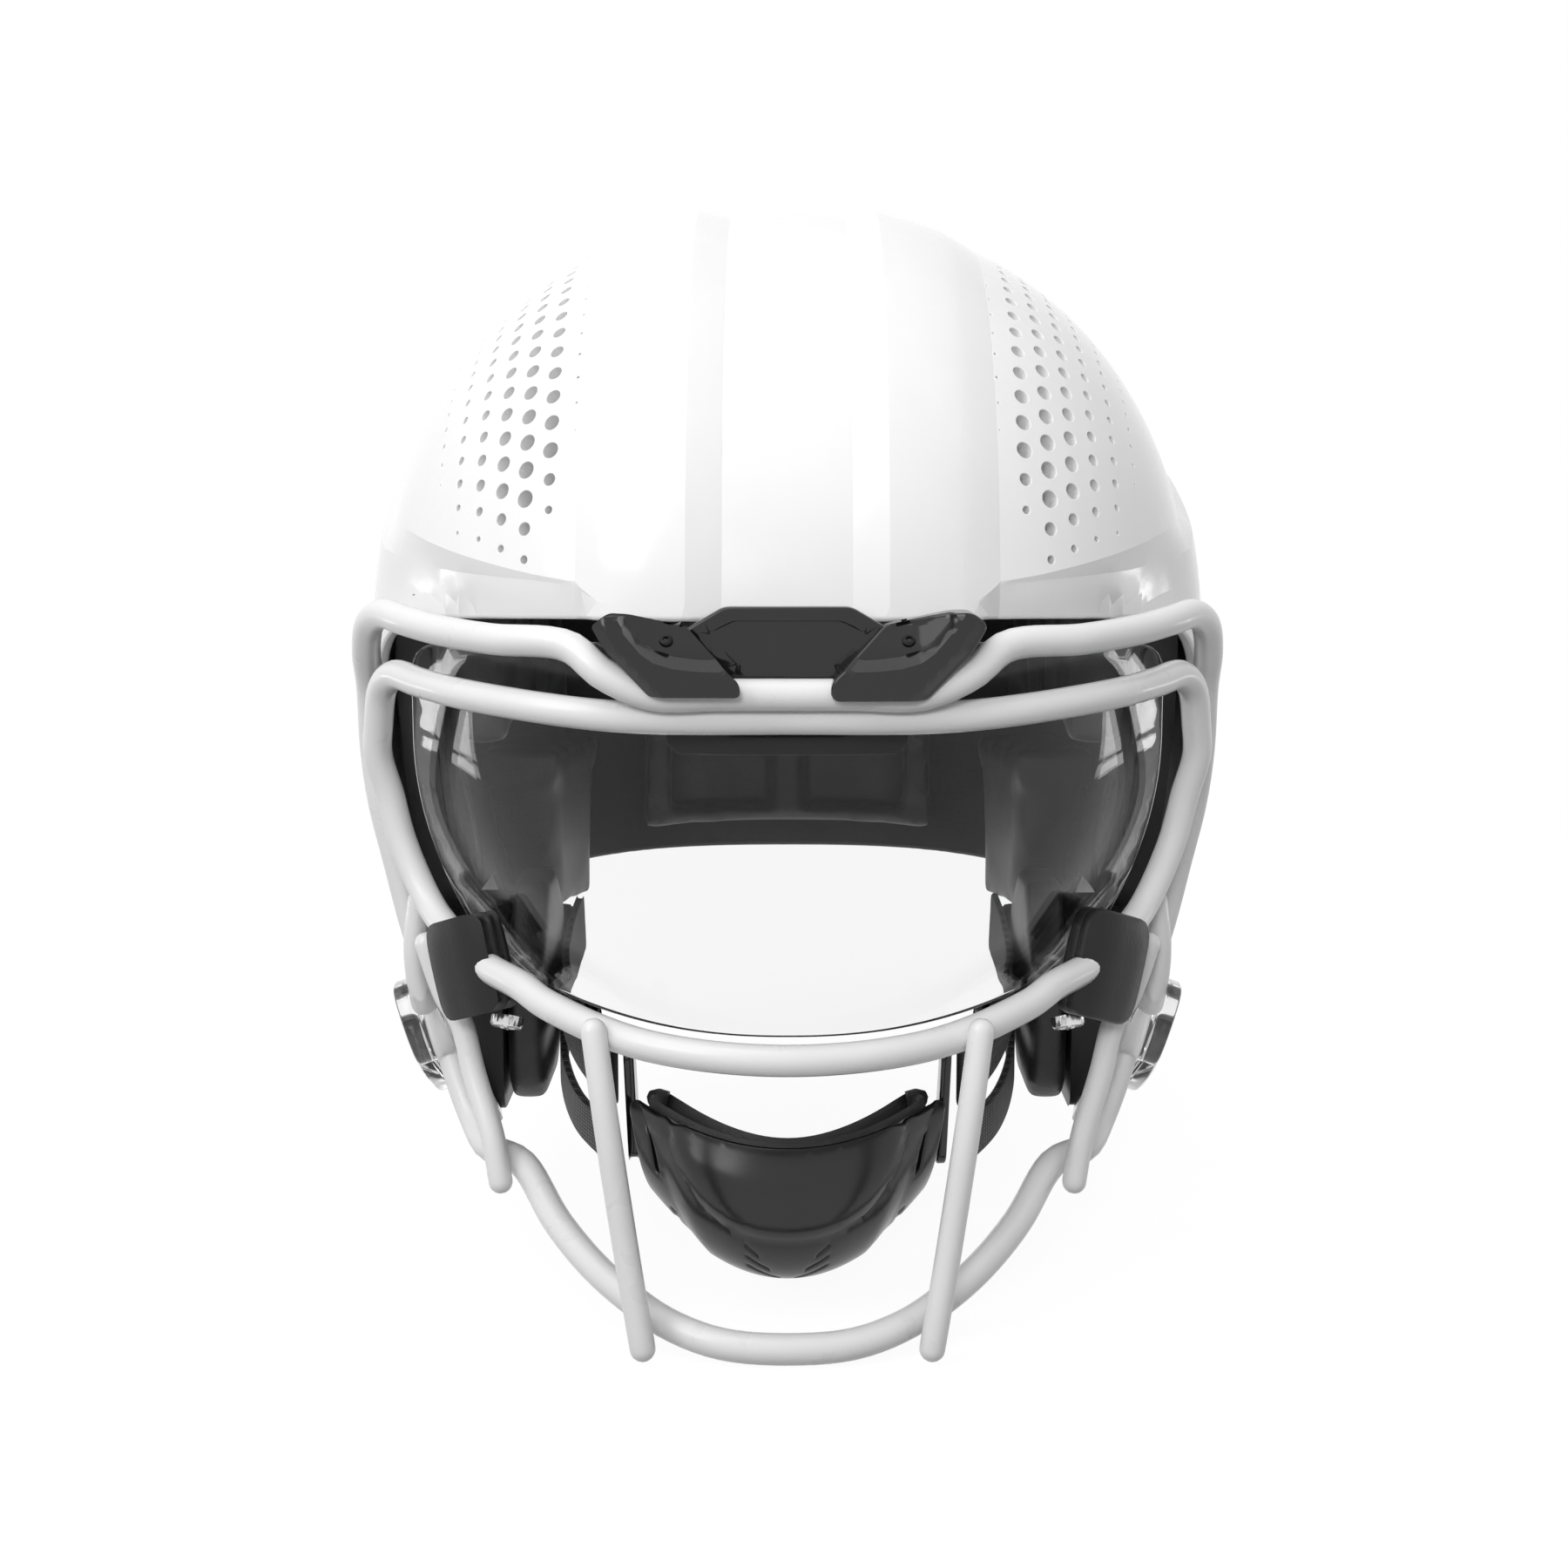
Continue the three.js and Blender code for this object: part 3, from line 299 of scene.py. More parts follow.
def rounded_sheet(outline, surface, thickness=None, back=None, rounding=1.0, spacing=4.0, holes=(),
                  creases=()):
    """A closed sheet with rounded rims. surface maps flat points to its front in space.

    Its other face is given by back, or lies behind the front by the thickness. thickness and rounding
    are one number each, or a function of the front's points."""
    flat, triangles = plan_triangles(outline, list(holes), list(creases), spacing)
    front = surface(flat)
    normals = vertex_normals(front, triangles)
    if back is None:
        depth = per_point(thickness, front)
        rear = front - normals * depth[:, None]
    else:
        rear = back(flat)
    through = rear - front
    depth = np.linalg.norm(through, axis=1)
    through = through / np.maximum(depth, 1e-9)[:, None]
    count = len(front)
    faces = [tuple(t) for t in triangles] + [(t[0] + count, t[2] + count, t[1] + count) for t in triangles]
    edges = np.vstack([triangles[:, [0, 1]], triangles[:, [1, 2]], triangles[:, [2, 0]]])
    known = set(map(tuple, edges))
    border = [(a, b) for a, b in known if (b, a) not in known]
    after = dict(border)
    before = {b: a for a, b in border}
    rim = sorted(after)
    place = {v: k for k, v in enumerate(rim)}
    tangent = normalised(np.array([front[after[v]] - front[before[v]] for v in rim]))
    out = normalised(np.cross(tangent, -through[rim]))
    rings = [np.array(rim)]
    extra = []
    profile = rim_profile(1.0, 0.5)
    radii = per_point(rounding, front)
    base = 2 * count
    for k in range(len(profile)):
        ring = np.empty((len(rim), 3))
        for j, v in enumerate(rim):
            step = rim_profile(depth[v], radii[v])
            step = step[min(len(step) - 1, round(k * (len(step) - 1) / (len(profile) - 1)))]
            ring[j] = front[v] + through[v] * step[0] + out[j] * step[1]
        extra.append(ring)
        rings.append(base + np.arange(len(rim)))
        base += len(rim)
    rings.append(np.array(rim) + count)
    for upper, lower in zip(rings, rings[1:]):
        for v in rim:
            j, k = place[v], place[after[v]]
            faces.append((upper[k], upper[j], lower[j], lower[k]))
    return outward(np.vstack([front, rear, *extra]), faces)


def tube(line, radius, sides=20, closed=False):
    """A round bar along a line. An open one ends in domes."""
    line = np.asarray(line, float)
    if closed:
        tangents = normalised(np.roll(line, -1, axis=0) - np.roll(line, 1, axis=0))
    else:
        tangents = normalised(np.gradient(line, axis=0))
    radii = np.full(len(line), float(radius))
    if not closed:
        cap = np.linspace(0, math.pi / 2, 6)[:-1]
        ends = []
        for end, sign in ((0, -1), (-1, 1)):
            places = line[end] + sign * tangents[end] * (radii[end] * np.sin(cap))[:, None]
            ends.append((places, radii[end] * np.cos(cap)))
        head, tail = ends
        line = np.vstack([head[0][::-1], line[1:-1], tail[0]])
        radii = np.concatenate([head[1][::-1], radii[1:-1], tail[1]])
        tangents = np.vstack([np.repeat(tangents[:1], len(cap), 0), tangents[1:-1],
                              np.repeat(tangents[-1:], len(cap), 0)])
    up = np.array([0.0, 0.0, 1.0]) if abs(tangents[0][2]) < 0.9 else np.array([0.0, 1.0, 0.0])
    points = []
    for centre, tangent, r in zip(line, tangents, radii):
        side_way = normalised(np.cross(tangent, up))
        up = normalised(np.cross(side_way, tangent))
        turns = full_turn(sides)[:, None]
        points.append(centre + r * (np.cos(turns) * side_way + np.sin(turns) * up))
    points = np.vstack(points)
    count = len(line)
    faces = []
    shift = 0
    if closed:  # the frame may come back turned, so the last ring is matched to the first
        last = points[-sides:] - line[-1]
        first = points[:sides] - line[0]
        shift = int(np.argmin([np.linalg.norm(np.roll(first, -k, axis=0) - last) for k in range(sides)]))
    for ring in range(count if closed else count - 1):
        turn = shift if ring == count - 1 else 0
        for k in range(sides):
            a, b = ring * sides + k, ring * sides + (k + 1) % sides
            c = (ring + 1) % count * sides + (k + turn) % sides
            d = (ring + 1) % count * sides + (k + 1 + turn) % sides
            faces.append((a, b, d, c))
    if not closed:
        faces.append(tuple(range(sides))[::-1])
        faces.append(tuple((count - 1) * sides + k for k in range(sides)))
    return outward(points, faces)


def lathe(profile, segments=40):
    """A closed profile of (radius, height) turned about +Z. It starts and ends on the axis."""
    points, rings = [], []
    for radius, height in profile:
        if radius < 1e-6:
            rings.append([len(points)])
            points.append((0, 0, height))
        else:
            rings.append(list(range(len(points), len(points) + segments)))
            points += [(radius * math.cos(t), radius * math.sin(t), height) for t in full_turn(segments)]
    faces = []
    for lower, upper in zip(rings, rings[1:]):
        for k in range(segments):
            ring = [lower[k % len(lower)], lower[(k + 1) % len(lower)], upper[(k + 1) % len(upper)],
                    upper[k % len(upper)]]
            face = tuple(dict.fromkeys(ring))
            if len(face) > 2:
                faces.append(face)
    return outward(points, faces)


def placed(shape, origin, x_axis, z_axis):
    """A shape moved to an origin, with its X and Z turned along two directions."""
    points, faces = shape
    z_way = normalised(np.asarray(z_axis, float))
    x_way = normalised(np.asarray(x_axis, float) - np.dot(x_axis, z_way) * z_way)
    y_way = np.cross(z_way, x_way)
    turned = points[:, :1] * x_way + points[:, 1:2] * y_way + points[:, 2:] * z_way
    return np.asarray(origin) + turned, faces


def facing_front(y_of, side=1):
    """A surface over flat points (x, z). y_of gives its Y from x and z, or is one number."""
    def surface(flat):
        x, z = flat[:, 0], flat[:, 1]
        return columns(side * x, y_of(x, z) if callable(y_of) else y_of, z)
    return surface


# ---- the dome's surface --------------------------------------------------------------------
def side_angle(points):
    """Degrees round from the front, the same to both sides."""
    return np.degrees(np.arctan2(np.abs(points[:, 0]), -points[:, 1]))


def relief(points):
    """How far the outer shell stands out of the plain dome."""
    x, y, z = np.abs(points[:, 0]), points[:, 1], points[:, 2]
    nape = np.where(y > 0, smoothstep(z, *NAPE_FADE), 1.0)
    band = np.interp(x, BAND_X, BAND_RISE) * nape
    angle = side_angle(points)
    below = np.interp(angle, PANEL_AT, PANEL_Z) - z  # under the lower edge of the panel's chamfer
    chamfer = np.interp(angle, PANEL_AT, PANEL_CHAMFER)
    brow = -CHAMFER_SLOPE * np.clip(below + chamfer, 0, chamfer) - BROW_SLOPE * np.clip(below, 0, BROW_DROP)
    flank = SIDE_FLARE * np.clip(1 + below / chamfer, 0, 1)
    side = smoothstep(angle, *BROW_TO_SIDE)
    fade = smoothstep(z, *RELIEF_LOWER_END) * smoothstep(angle, *RELIEF_INNER_END)
    return band + (brow * (1 - side) + flank * side) * fade


def dome_value(points, depth):
    """Negative inside the dome that lies a depth below the plain surface, positive outside."""
    rise = points[:, 2] - CENTRE[2]
    top = np.clip(1 - (np.maximum(rise, 0) / (DOME["height"] - depth)) ** DOME["crown_power"], 0, 1)
    crown = top ** (1 / DOME["crown_power"])
    jaw = np.sqrt(np.clip(1 - (rise / DOME["jaw_taper"]) ** 2, 0, 1))
    nape = np.sqrt(np.clip(1 - (rise / DOME["nape_taper"]) ** 2, 0, 1))
    front = points[:, 1] < 0
    across = np.where(rise >= 0, crown, jaw)
    along = np.where(rise >= 0, crown, np.where(front, 1.0, nape))
    half_width = np.maximum((DOME["half_width"] - depth) * across, 1e-6)
    half_length = np.maximum((np.where(front, DOME["front"], DOME["back"]) - depth) * along, 1e-6)
    power = DOME["plan_power"]
    wide = (np.abs(points[:, 0]) / half_width) ** power
    return wide + (np.abs(points[:, 1]) / half_length) ** power - 1


FARTHEST_HIT = 260.0
HALVINGS = 34  # of the stretch in which the dome is looked for


def dome_hit(origins, directions, depth, with_relief=False):
    """Where rays from inside the dome leave it."""
    directions = normalised(np.asarray(directions, float))
    origins = np.broadcast_to(np.asarray(origins, float), directions.shape)
    near, far = np.zeros(len(directions)), np.full(len(directions), FARTHEST_HIT)
    for _ in range(HALVINGS):
        middle = (near + far) / 2
        points = origins + directions * middle[:, None]
        raised = relief(points) if with_relief else 0
        inside = dome_value(points, depth - raised) < 0
        near, far = np.where(inside, middle, near), np.where(inside, far, middle)
    return origins + directions * near[:, None]


def over_the_top(x, degrees, depth, with_relief=False):
    """Angles run from the brow (0) over the crown (90) to the back (180), at each x."""
    x, degrees = np.broadcast_arrays(np.asarray(x, float), np.asarray(degrees, float))
    angle = np.radians(degrees.ravel())
    directions = columns(0, -np.cos(angle), np.sin(angle))
    return dome_hit(columns(x.ravel(), 0, CENTRE[2]), directions, depth, with_relief)


def on_the_side(side, y, z, depth, with_relief=False):
    """Where the dome lies out to one side of the given places in Y and Z."""
    y, z = np.broadcast_arrays(np.asarray(y, float), np.asarray(z, float))
    origins = columns(0, y.ravel(), z.ravel())
    return dome_hit(origins, np.tile((float(side), 0.0, 0.0), (len(origins), 1)), depth, with_relief)


DISC = 125.0  # millimetres of the flat disc for each radian from the crown


def to_disc(points):
    """The dome laid out flat, as seen from its centre, with the crown in the middle."""
    way = normalised(np.asarray(points, float) - CENTRE)
    tilt = np.arccos(np.clip(way[:, 2], -1, 1))
    turn = np.arctan2(way[:, 1], way[:, 0])
    return DISC * columns(tilt * np.cos(turn), tilt * np.sin(turn))


def from_disc(depth, with_relief):
    def surface(flat):
        tilt = np.linalg.norm(flat, axis=1) / DISC
        turn = np.arctan2(flat[:, 1], flat[:, 0])
        ways = columns(np.sin(tilt) * np.cos(turn), np.sin(tilt) * np.sin(turn), np.cos(tilt))
        return dome_hit(CENTRE, ways, depth, with_relief)
    return surface


# ---- side views of the shells --------------------------------------------------------------
def bent(start, corner, end, count=10):
    """Points along a bend from start to end, drawn towards the corner."""
    t = np.linspace(0, 1, count)[:, None]
    start, corner, end = (np.asarray(p, float) for p in (start, corner, end))
    return (1 - t) ** 2 * start + 2 * t * (1 - t) * corner + t * t * end


def shell_side_line():
    """(y, z) down the face opening, round the jaw flap and along the neck edge."""
    return np.vstack([
        bent((-84, 184), (-52, 180), (-47, 150)), bent((-47, 150), (-43, 118), (-48, 98)),
        bent((-48, 98), (-52, 74), (-66, 42)), bent((-66, 42), (-69, 34), (-60, 34)),
        bent((-60, 34), (-42, 34), (-25, 34)), bent((-25, 34), (10, 38), (32, 60)),
        bent((32, 60), (52, 80), (90, 82))])


def arch_side_line():
    """(y, z) of the inner shell's edge, inside the outer one's."""
    return np.vstack([
        bent((-80, 189), (-46, 184), (-41, 152)), bent((-41, 152), (-38, 122), (-40, 96)),
        [(-39, 93.5), (-36, 92.2)], bent((-30, 92), (-4, 92), (22, 92)),
        bent((27, 78), (58, 81.5), (90, 85))])


def level_arc(y_start, heights, front, depth, with_relief, count=34):
    """Half of the brow or neck edge: points on the dome at the heights that a side view gives."""
    start_height = float(np.interp(y_start, *heights))
    first = on_the_side(1, y_start, start_height, depth, with_relief)[0]
    x = np.linspace(first[0], 0, count)
    z = np.full(count, start_height)
    way = np.tile((0.0, -1.0 if front else 1.0, 0.0), (count, 1))
    for _ in range(4):
        hit = dome_hit(columns(x, 0, z), way, depth, with_relief)
        z = np.interp(hit[:, 1], *heights)
    return hit


def edge_loop(side_line, brow, neck, depth, with_relief, spacing):
    """The whole edge of a shell as points on the disc. brow and neck are (places in Y, heights there)."""
    half_brow = level_arc(side_line[0][0], brow, True, depth, with_relief)[::-1]
    flank_line = even_line(side_line, int(len(side_line) * 1.6))
    flank = on_the_side(1, flank_line[:, 0], flank_line[:, 1], depth, with_relief)
    half_neck = level_arc(side_line[-1][0], neck, False, depth, with_relief)
    half = np.vstack([half_brow, flank[1:-1], half_neck])
    whole = np.vstack([half, mirror_x(half[1:-1], -1)[::-1]])
    disc = to_disc(whole)
    disc = np.vstack([disc, disc[:1]])
    length = np.linalg.norm(np.diff(disc, axis=0), axis=1).sum()
    return even_line(disc, int(length / spacing), closed=True)


def loop_on_dome(centre, radius, count):
    """A round hole's edge on the disc, in the plane that touches the plain dome there."""
    from_centre = centre - CENTRE
    probe = normalised(np.cross(normalised(from_centre), (0.0, 0.0, 1.0)))
    other = np.cross(probe, normalised(from_centre))
    step = 0.5
    ways = [from_centre + probe * step, from_centre - probe * step,
            from_centre + other * step, from_centre - other * step]
    around = dome_hit(CENTRE, np.array(ways), 0)
    flat_a, flat_b = normalised(around[0] - around[1]), normalised(around[2] - around[3])
    turns = full_turn(count)[:, None]
    return to_disc(centre + radius * (np.cos(turns) * flat_a + np.sin(turns) * flat_b))


# The perforations: columns out from the band, rows up and over the crown.
COLUMN_X = [54.5 + 6.5 * k for k in range(7)]
COLUMN_DIAMETER = (1.4, 5.0, 5.2, 4.8, 3.8, 2.9, 2.0)
COLUMN_FIRST_ROW = (4, 1, 0, 0, 1, 1, 4)
ROW_PITCH = 3.7  # degrees
FIRST_ANGLES = (15.0, 16.8)  # of row 0 in even and odd columns
LAST_ROW_ANGLE = 104
SMALLEST_START, GROWN_AFTER = 0.52, 7  # each column starts with small holes, full size after 7 degrees
SHRINK_FROM, SHRINK_RATE = 27, 0.0082  # past this angle they shrink again, per degree


def perforations():
    """(centre, radius) of each hole."""
    holes = []
    for column, x in enumerate(COLUMN_X):
        start = FIRST_ANGLES[column % 2] + ROW_PITCH * COLUMN_FIRST_ROW[column]
        angles = np.arange(start, LAST_ROW_ANGLE, ROW_PITCH)
        grow = np.clip(SMALLEST_START + (1 - SMALLEST_START) * (angles - start) / GROWN_AFTER, 0, 1)
        fade = 1 - SHRINK_RATE * np.maximum(0, angles - SHRINK_FROM)
        for angle, diameter in zip(angles, COLUMN_DIAMETER[column] * grow * fade):
            centre = over_the_top(x, angle, 0, True)[0]
            for _, side in SIDES:
                holes.append((mirror_x(centre, side), diameter / 2))
    return holes


# ---- materials -----------------------------------------------------------------------------
class Tree:
    """A few shorthands for building a node tree."""

    def __init__(self, tree):
        self.tree = tree

    def link(self, output, socket):
        self.tree.links.new(output, socket)

    def put(self, socket, value):
        """Gives an input a plain value or another node's output."""
        if isinstance(value, bpy.types.NodeSocket):
            self.link(value, socket)
        else:
            socket.default_value = value

    def fill(self, node, inputs):
        """Inputs by name, with _ for a space."""
        for key, value in inputs.items():
            self.put(node.inputs[key.replace("_", " ")], value)

    def add(self, kind, **inputs):
        node = self.tree.nodes.new(kind)
        self.fill(node, inputs)
        return node

    def math(self, operation, first, second):
        node = self.add("ShaderNodeMath")
        node.operation = operation
        self.put(node.inputs[0], first)
        self.put(node.inputs[1], second)
        return node.outputs[0]

    def between(self, value, low, high, from_low=0.3, from_high=0.7):
        """The value carried from one range to another, and held at its ends."""
        return self.add("ShaderNodeMapRange", Value=value, From_Min=from_low, From_Max=from_high, To_Min=low,
                        To_Max=high).outputs["Result"]

    def seen_or_mirrored(self):
        """0 for light that lands on matt surfaces, 1 for what the camera sees directly or mirrored."""
        return self.math("SUBTRACT", 1.0, self.add("ShaderNodeLightPath").outputs["Is Diffuse Ray"])


class Nodes(Tree):
    """The same for one material, on the object's own coordinates."""

    def __init__(self, name):
        self.material = bpy.data.materials.new(name)
        self.material.use_nodes = True
        super().__init__(self.material.node_tree)
        self.place = self.add("ShaderNodeTexCoord").outputs["Object"]

    def noise(self, scale, detail=3.0):
        return self.add("ShaderNodeTexNoise", Vector=self.place, Scale=scale, Detail=detail).outputs["Fac"]

    def colour_between(self, value, dark, light):
        node = self.add("ShaderNodeMix", Factor=value)
        node.data_type = "RGBA"
        node.inputs[6].default_value = (*dark, 1)
        node.inputs[7].default_value = (*light, 1)
        return node.outputs[2]

    def bump(self, height, strength, distance, after=None):
        node = self.add("ShaderNodeBump", Height=height, Strength=strength, Distance=distance)
        if after:
            self.link(after, node.inputs["Normal"])
        return node.outputs["Normal"]

    def wave(self, scale, distortion, direction):
        node = self.add("ShaderNodeTexWave", Vector=self.place, Scale=scale, Distortion=distortion)
        node.bands_direction = direction
        return node.outputs["Fac"]

    def sockets(self, **inputs):
        self.fill(self.tree.nodes["Principled BSDF"], inputs)
        return self.material


def grey(value):
    return (value, value, value)


def moulded(name, light, dark, roughness, grain, bump, coat=0.0, specular=0.5):
    """Moulded or coated surface: faint blotches of tone and gloss, and a fine grain."""
    n = Nodes(name)
    blotch = n.between(n.noise(38), 0, 1)
    fine = n.noise(grain, 4.0)
    return n.sockets(
        Base_Color=n.colour_between(blotch, dark, light),
        Roughness=n.between(n.noise(75, 5.0), roughness * 0.88, roughness * 1.14),
        Normal=n.bump(fine, bump, 0.0004), Coat_Weight=coat, Coat_Roughness=0.08,
        Specular_IOR_Level=specular)


def leathery(name, light, dark, roughness=0.5):
    """Soft coated fabric: pebbled cells with fine creases."""
    n = Nodes(name)
    cells = n.add("ShaderNodeTexVoronoi", Vector=n.place, Scale=620.0)
    cells.feature = "DISTANCE_TO_EDGE"
    pebble = n.between(cells.outputs["Distance"], 0, 1, 0.0, 0.25)
    crease = n.noise(160, 6.0)
    first = n.bump(pebble, 0.10, 0.0003)
    return n.sockets(
        Base_Color=n.colour_between(n.between(crease, 0, 1), dark, light),
        Roughness=n.between(pebble, roughness * 1.06, roughness * 0.97, 0.0, 1.0),
        Normal=n.bump(crease, 0.05, 0.0008, first), Sheen_Weight=0.05, Sheen_Roughness=0.5)


def clear_plastic(name, colour, roughness, ior):
    """See-through plastic with faint waves from the mould."""
    n = Nodes(name)
    return n.sockets(
        Base_Color=(*colour, 1), Transmission_Weight=1.0, IOR=ior,
        Roughness=n.between(n.noise(60), roughness * 0.6, roughness * 1.4),
        Normal=n.bump(n.noise(25, 2.0), 0.003, 0.001))


def metal(name, light, dark, roughness):
    """Plated steel with fine turning marks."""
    n = Nodes(name)
    fine = n.noise(900, 5.0)
    return n.sockets(
        Base_Color=n.colour_between(n.between(n.noise(120), 0, 1), dark, light), Metallic=1.0,
        Roughness=n.between(fine, roughness * 0.7, roughness * 1.3), Normal=n.bump(fine, 0.05, 0.0002))


def webbing(name, light, dark):
    """Flat woven strap: fine ribs across and along it."""
    n = Nodes(name)
    weave = n.math("MULTIPLY", n.wave(260.0, 0.6, "Y"), n.wave(330.0, 0.4, "Z"))
    return n.sockets(
        Base_Color=n.colour_between(weave, dark, light), Roughness=0.72,
        Normal=n.bump(weave, 0.5, 0.0004), Sheen_Weight=0.3, Sheen_Roughness=0.4)


WHITE = moulded("shell_white", grey(0.82), grey(0.80), 0.17, 420.0, 0.05, coat=0.35)
COATING = moulded("mask_coating", grey(0.76), grey(0.73), 0.30, 900.0, 0.10, coat=0.2)
ARCH = moulded("arch_plastic", grey(0.045), grey(0.033), 0.45, 700.0, 0.20, specular=0.35)
FOAM = leathery("reflex_foam", grey(0.03), grey(0.015), 0.8)
PAD = leathery("pad_black", grey(0.022), grey(0.015), 0.44)
GLOSS = moulded("trim_black", grey(0.006), grey(0.004), 0.12, 500.0, 0.03, specular=0.5)
HARD = moulded("hardware_black", grey(0.014), grey(0.010), 0.38, 900.0, 0.15, specular=0.28)
VISOR_CLEAR = clear_plastic("visor_clear", grey(0.90), 0.012, 1.26)
CLIP_CLEAR = clear_plastic("clip_clear", grey(0.93), 0.06, 1.46)
STEEL = metal("screw_steel", grey(0.72), grey(0.6), 0.22)
# The brow screws' near-black metal is painted shade: a darker copy of the screw steel that stands for the
# shade of the recess each screw sits in, which isn't modelled.
SCREW_PAINTED_SHADE = metal("screw_black", grey(0.03), grey(0.02), 0.35)
STRAP = webbing("strap_webbing", grey(0.030), grey(0.008))
CUP = moulded("cup_black", grey(0.006), grey(0.004), 0.24, 600.0, 0.04, specular=0.5)


# ---- shells --------------------------------------------------------------------------------
# Their front and back edges seen from the side: (places in Y, heights there).
SHELL_BROW, SHELL_NECK = ((-136, -84), (187, 184)), ((90, 200), (82, 86))
ARCH_BROW, ARCH_NECK = ((-136, -80), (191.5, 189)), ((90, 200), (85, 87.5))
LIP_LOW_END, LIP_FLAT = 92.5, 100  # where the lip ends, and the flat length that it is laid out on
LIP_DEPTHS = (3.9, 14.0)  # under the plain dome, from the outer shell to the arch
LIP_FRONT, LIP_BACK = 0.4, 2.8  # behind the arch's edge


def ear_loop(side, depth, with_relief):
    """The ear hole's edge on the disc."""
    turns = full_turn(40)
    y = EAR["y"] + EAR["half_length"] * np.cos(turns)
    z = EAR["z"] + EAR["half_height"] * np.sin(turns)
    return to_disc(on_the_side(side, y, z, depth, with_relief))


def ridge_lines():
    """Where the relief has its creases: along the band, and round each panel's border."""
    lines = []
    for x in BAND_X[1:-1]:
        angles = np.arange(9, 214, 3.0)
        lines += [to_disc(over_the_top(side * x, angles, 0, True)) for _, side in SIDES]
    degrees = np.arange(20, 150, 2.0)
    round_angles = np.radians(degrees)
    border = np.interp(degrees, PANEL_AT, PANEL_Z)
    for z in (border, border + np.interp(degrees, PANEL_AT, PANEL_CHAMFER)):
        for _, side in SIDES:
            ways = columns(side * np.sin(round_angles), -np.cos(round_angles), 0)
            lines.append(to_disc(dome_hit(columns(0, 0, z), ways, 0, True)))
    return lines


def at_holes(holes, elsewhere, there):
    """A value for each point of the shell: one at the edges of the perforations, one elsewhere."""
    tree = tree_of([centre for centre, _ in holes])

    def value(front):
        values = np.full(len(front), elsewhere)
        for k, point in enumerate(front):
            _, index, distance = tree.find(point)
            if distance < holes[index][1] + 0.06:
                values[k] = there
        return values
    return value


def outer_shell():
    outline = edge_loop(shell_side_line(), SHELL_BROW, SHELL_NECK, 0, True, 2.4)
    holes = perforations()
    loops = [loop_on_dome(centre, radius, 18 if radius > 1 else 10) for centre, radius in holes]
    ears = [ear_loop(side, 0, True) for _, side in SIDES]
    shape = rounded_sheet(outline, from_disc(0, True), at_holes(holes, SHELL_THICKNESS, TUNNEL),
                          rounding=at_holes(holes, 1.2, 0.25), holes=loops + ears, creases=ridge_lines())
    make_object("shell", shape, WHITE, "helmet", ["outer_shell"], sharp=7)


def arch_shell():
    outline = edge_loop(arch_side_line(), ARCH_BROW, ARCH_NECK, ARCH_OUTER, False, 4.0)
    ears = [ear_loop(side, ARCH_OUTER, False) for _, side in SIDES]
    arch = rounded_sheet(outline, from_disc(ARCH_OUTER, False), ARCH_THICKNESS, rounding=1.1, spacing=7.0,
                         holes=ears)
    shape = joined([arch] + [arch_lip(side) for _, side in SIDES])
    make_object("arch", shape, ARCH, "helmet", ["arch_shell"])


def arch_lip(side):
    """The lip beside the face opening that closes the gap between the inner shell and the outer one."""
    down_the_opening = arch_side_line()[:-20]
    line = even_line(down_the_opening, 50)
    line = line[line[:, 1] > LIP_LOW_END]
    steps = np.linspace(0, LIP_FLAT, len(line))

    def across(shift):
        def surface(flat):
            y, z = (np.interp(flat[:, 0], steps, line[:, k]) for k in (0, 1))
            return on_the_side(side, y + shift, z, flat[:, 1])
        return surface
    outline = denser(rectangle(0, LIP_DEPTHS[0], LIP_FLAT, LIP_DEPTHS[1], 0.8), 2.5)
    return rounded_sheet(outline, across(LIP_FRONT), back=across(LIP_BACK), rounding=0.6, spacing=3)


# ---- bars ----------------------------------------------------------------------------------
OUTER_LOOP = [
    (0, MASK_AXIS[0], MASK_AXIS[1]), (17, MASK_AXIS[0], MASK_AXIS[1]), (33, MASK_AXIS[0], MASK_AXIS[1]),
    (45, -149, 173.6), (54, -143.5, 180), (74.2, -133, 181), (90.5, -119, 182.4), (100, -110, 184),
    (108, -98, 185), (114, -86, 181.5), (117.2, -75, 173), (118.4, -64, 162), (119, -58, 143),
    (117.4, -57, 128), (113.6, -57, 111), (109.2, -58, 93), (103.3, -61.5, 75), (95.6, -71, 52.5),
    (89.4, -79, 39.8), (84.5, -87, 34.5), (73.5, -98, 33), (62, -116, 22.5), (50.8, -131, 15.5),
    (41, -141, 11), (30, -149.5, 7), (16.6, -156, 4.6), (0, -158, 4)]
EYE_LOOP = [
    (0, -144.8, 162.2), (30, -144.5, 162.2), (45, -143, 162.8), (60, -138.5, 164), (84, -123, 166.2),
    (97, -108, 167.6), (105.5, -97, 168.6), (110.4, -89, 164), (112.6, -84, 154), (113.6, -81, 145),
    (110.9, -79, 133.4), (107.9, -79.5, 121.2), (102.8, -83, 109.6), (98, -88, 102.4), (93, -95, 98.4),
    (86, -103, 93.6), (80.4, -109, 91), (69.8, -122, 89), (61.8, -131, 86), (34.8, -152, 81),
    (0, -161, 79.6)]
INNER_UPRIGHT = [(48.4, -151, 84.5), (45.2, -155, 62), (40.6, -156.5, 30), (36.4, -159, 4.6)]
OUTER_UPRIGHT = [(100.9, -84, 92), (95.8, -86, 77.8), (90.9, -89, 70.5), (87, -94, 58), (80.9, -102, 41.5),
                 (78.6, -105, 30)]
SIDE_STUB = [(104.4, -74, 102), (105.8, -74, 90.6), (105.6, -73, 80), (104, -72, 72)]


